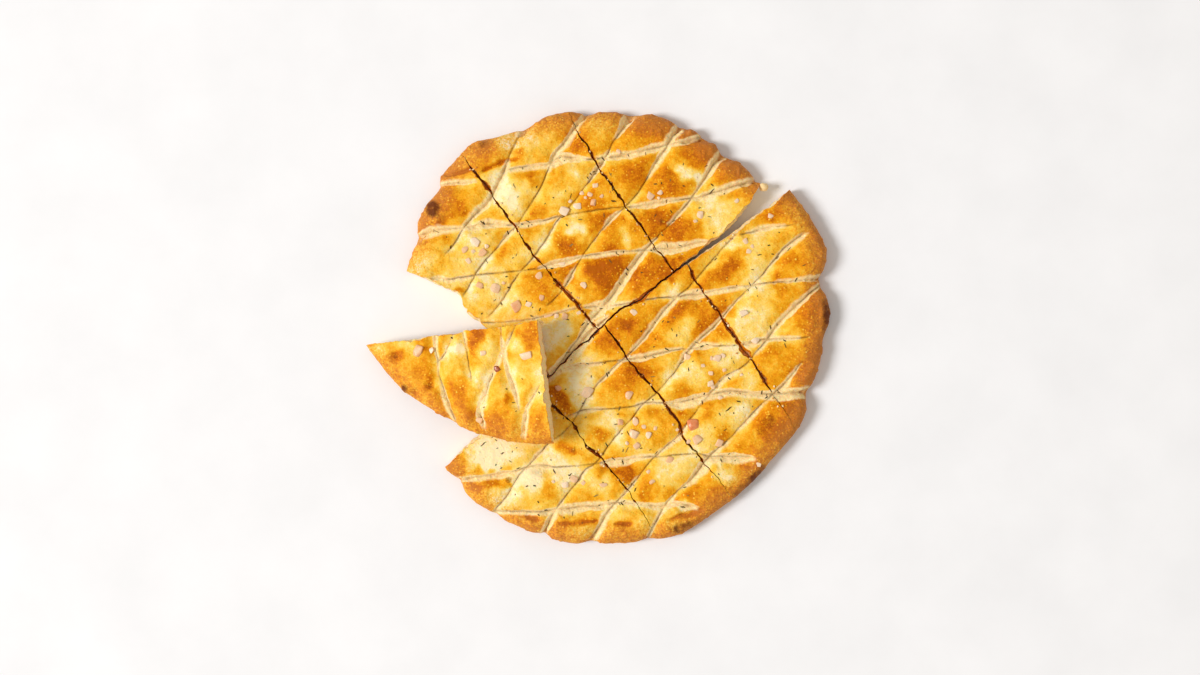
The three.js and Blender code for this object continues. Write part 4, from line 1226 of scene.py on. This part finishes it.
def on_bread(plan):
    """Whether points of the plan lie on a slice, and not in the gap or in the long cut."""
    x, y = plan[:, 0], plan[:, 1]
    upper = np.interp(x, *np.array(LONG_CUT_UPPER).T)
    lower = np.interp(x, *np.array(LONG_CUT_LOWER).T)
    gap = np.interp(x, *np.array(GAP_CUT).T)
    in_gap = (x < GAP_CUT[-1][0]) & (y > lower - 2) & (y < gap + 2)
    in_cut = (y > lower - 1.5) & (y < upper + 1.5)
    return ~in_gap & ~in_cut


def lay(places, place):
    """Points in millimetres moved as a matrix in metres says."""
    return places @ np.array(place.to_3x3()).T + np.array(place.translation) / MM


def sprinkle_salt(loaf, pulled, place):
    """All salt crystals, each sunk a little into its crust."""
    draw = np.random.default_rng(SALT_SEED)
    heap = Scatter("salt_crystals", salt_material(), "salt")
    directions, triangles = ball(4)
    heaps = (loaf, SALT + FINE_SALT, Matrix.Identity(4)), (pulled, PULLED_SALT, place)
    for dough, crystals, matrix in heaps:
        plan = np.array([(x, y) for x, y, size, tint in crystals], float)
        heights = top_height(dough, plan)
        for (x, y, size, tint), height in zip(crystals, heights):
            shape = crystal(directions, draw) * draw.uniform(*SALT_STRETCH, 3)
            shape = turned(shape, draw.uniform(0, 360)) * (size, size, size * SALT_FLATNESS)
            base = -shape[:, 2].min() - SALT_SUNK * np.ptp(shape[:, 2])
            heap.add(lay(shape + (x, y, height + base), matrix), triangles, tint)
    heap.finish()


def strew_herbs(loaf, pulled, place):
    """All herb flakes, lying on the crust."""
    draw = np.random.default_rng(HERB_SEED)
    heap = Scatter("herb_flakes", scrap_material("dried_herb", HERB_COLOURS, 0.75), "herb")

    def flakes(dough, spots, matrix):
        for x, y, length, turn in spots:
            wide = draw.uniform(*HERB_WIDTHS)
            shape, triangles = sliver(length, wide, HERB_THICKNESS, draw.uniform(0, 0.25))
            shape = turned(shape, turn) + (x, y, 0)
            shape[:, 2] += top_height(dough, shape[:, :2]) + 0.8 * HERB_THICKNESS
            heap.add(lay(shape, matrix), triangles, draw.uniform(0, 1) ** 1.4)

    def loose(spots):
        return [(x, y, mix(*HERB_LENGTHS, draw.uniform(0, 1) ** 1.6), draw.uniform(0, 180)) for x, y in spots]

    tries = LOAF_CENTRE + HERB_FIELD * draw.uniform(-1, 1, (HERB_TRIES, 2))
    marks = marks_of(loaf, tries)
    likely = HERB_CHANCE + HERB_CHANCE_IN_SLASH * marks["crumb"]
    likely += HERB_CHANCE_ON_PALE * (marks["baked"] < BASE_BROWN)
    kept = (loaf.inset(tries) > HERB_INSET) & on_bread(tries) & (draw.uniform(0, 1, len(tries)) < likely)
    flakes(loaf, [*LONG_HERBS, *loose(HERBS), *loose(tries[kept][:HERB_COUNT])], Matrix.Identity(4))
    flakes(pulled, loose(PULLED_HERBS), place)
    heap.finish()


def drop_crumbs(loaf):
    """Loose crumbs along the cuts, and the torn lump."""
    draw = np.random.default_rng(CRUMB_SEED)
    heap = Scatter("crumbs", scrap_material("loose_crumb", LOOSE_CRUMB_COLOURS, 0.9), "crust")
    directions, triangles = ball(2)

    def lump(x, y, height, size, tint):
        rough = 0.5 + 0.16 * noise(directions + draw.uniform(0, 90, 3), 0.5, 60)
        shape = directions * (rough * size)[:, None] * draw.uniform(*CRUMB_STRETCH, 3)
        heap.add(shape + (x, y, height), triangles, tint)

    cuts = (
        UPPER_LEFT_CUT, UPPER_RIGHT_CUT, LOWER_LEFT_CUT, LOWER_MIDDLE_CUT, LOWER_RIGHT_CUT, LONG_CUT_LOWER,
    )
    paths = np.vstack([knife_path(points)[0] for points in cuts])
    tries = 3 * CRUMB_COUNT
    spots = paths[draw.integers(0, len(paths), tries)] + draw.normal(0, CRUMB_SPREAD, (tries, 2))
    spots = spots[(loaf.inset(spots) > CRUMB_INSET) & on_bread(spots)][:CRUMB_COUNT]
    sizes = draw.uniform(*CRUMB_SIZES, len(spots))
    for (x, y), size, height in zip(spots, sizes, top_height(loaf, spots)):
        lump(x, y, height + 0.2 * size, size, draw.uniform(0, 1))
    lump(*TORN_LUMP, TORN_TINT)
    heap.finish()


def bake():
    """All slices, each in place of its node, and what lies on them."""
    crust = crust_material()
    crumb = bpy.data.materials.new("cut_faces")
    loaf = Dough(
        centre=LOAF_CENTRE, radius_at=outline_radius, slashes=SLASHES, folds=FOLDS, browned=BROWNED,
        burnt=BURNT, open_cuts=OPEN_CUTS, toast=LOAF_TOAST, seed=LOAF_SEED,
    )
    pulled = Dough(
        centre=(0, 0), radius_at=lambda degrees: np.full(np.shape(degrees), PULLED_RADIUS),
        slashes=PULLED_SLASHES, browned=PULLED_BROWNED, burnt=PULLED_BURNT, dimples=DIMPLES,
        open_cuts=tuple(points for points, grain in pulled_sector() if grain),
        toast=PULLED_TOAST, seed=PULLED_SEED,
    )

    def with_materials(mesh):
        for material in (crust, crumb):
            mesh.materials.append(material)
        return mesh

    def cutter(name, dough, *paths, undercut=0.0):
        piece = wall_piece(name, dough, paths, undercut)
        with_materials(piece.data)
        piece.data.polygons.foreach_set("material_index", np.ones(len(piece.data.polygons), np.int32))
        return piece

    def round_of(name, dough):
        return object_of(name, with_materials(loaf_mesh(name, dough)))

    whole = round_of("whole", loaf)
    above = ((FAR, FAR), (-FAR, FAR), (-FAR, -FAR))
    below = ((FAR, -FAR), (-FAR, -FAR))
    upper_cutter = cutter("upper", loaf, (LONG_CUT_UPPER, CUT_GRAIN), (above, 0))
    lower_cutter = cutter("lower", loaf, (LONG_CUT_LOWER, CUT_GRAIN), (below, 0))
    upper = object_of("upper_half", shared("upper_half", whole, upper_cutter))
    lower = object_of("lower_half", shared("lower_half", whole, lower_cutter))
    drop(whole, upper_cutter, lower_cutter)
    strips = (
        ("slice_upper_left", upper, GAP_CUT, UPPER_LEFT_CUT),
        ("slice_top", upper, UPPER_LEFT_CUT, UPPER_RIGHT_CUT),
        ("slice_upper_right", upper, UPPER_RIGHT_CUT, FAR_RIGHT),
        ("slice_lower_left", lower, FAR_LEFT, LOWER_LEFT_CUT),
        ("slice_bottom", lower, LOWER_LEFT_CUT, LOWER_MIDDLE_CUT),
        ("slice_lower_right", lower, LOWER_MIDDLE_CUT, LOWER_RIGHT_CUT),
        ("slice_right", lower, LOWER_RIGHT_CUT, FAR_RIGHT),
    )
    for name, half, left, right in strips:
        left_grain, right_grain = (WALL_GRAIN.get(path, CUT_GRAIN) for path in (left, right))
        strip = cutter("strip", loaf, (left, left_grain), (right[::-1], right_grain))
        finish_slice(name, shared(name, half, strip), loaf, Matrix.Identity(4), crust)
        drop(strip)
    drop(upper, lower)
    flat_round = round_of("pulled_round", pulled)
    sector = cutter("sector", pulled, *pulled_sector(), undercut=PULLED_UNDERCUT)
    mesh = shared(PULLED, flat_round, sector)
    drop(flat_round, sector)
    place = pulled_place(mesh)
    finish_slice(PULLED, mesh, pulled, place, crust)
    sprinkle_salt(loaf, pulled, place)
    strew_herbs(loaf, pulled, place)
    drop_crumbs(loaf)


studio()
bake()
bpy.context.view_layer.update()
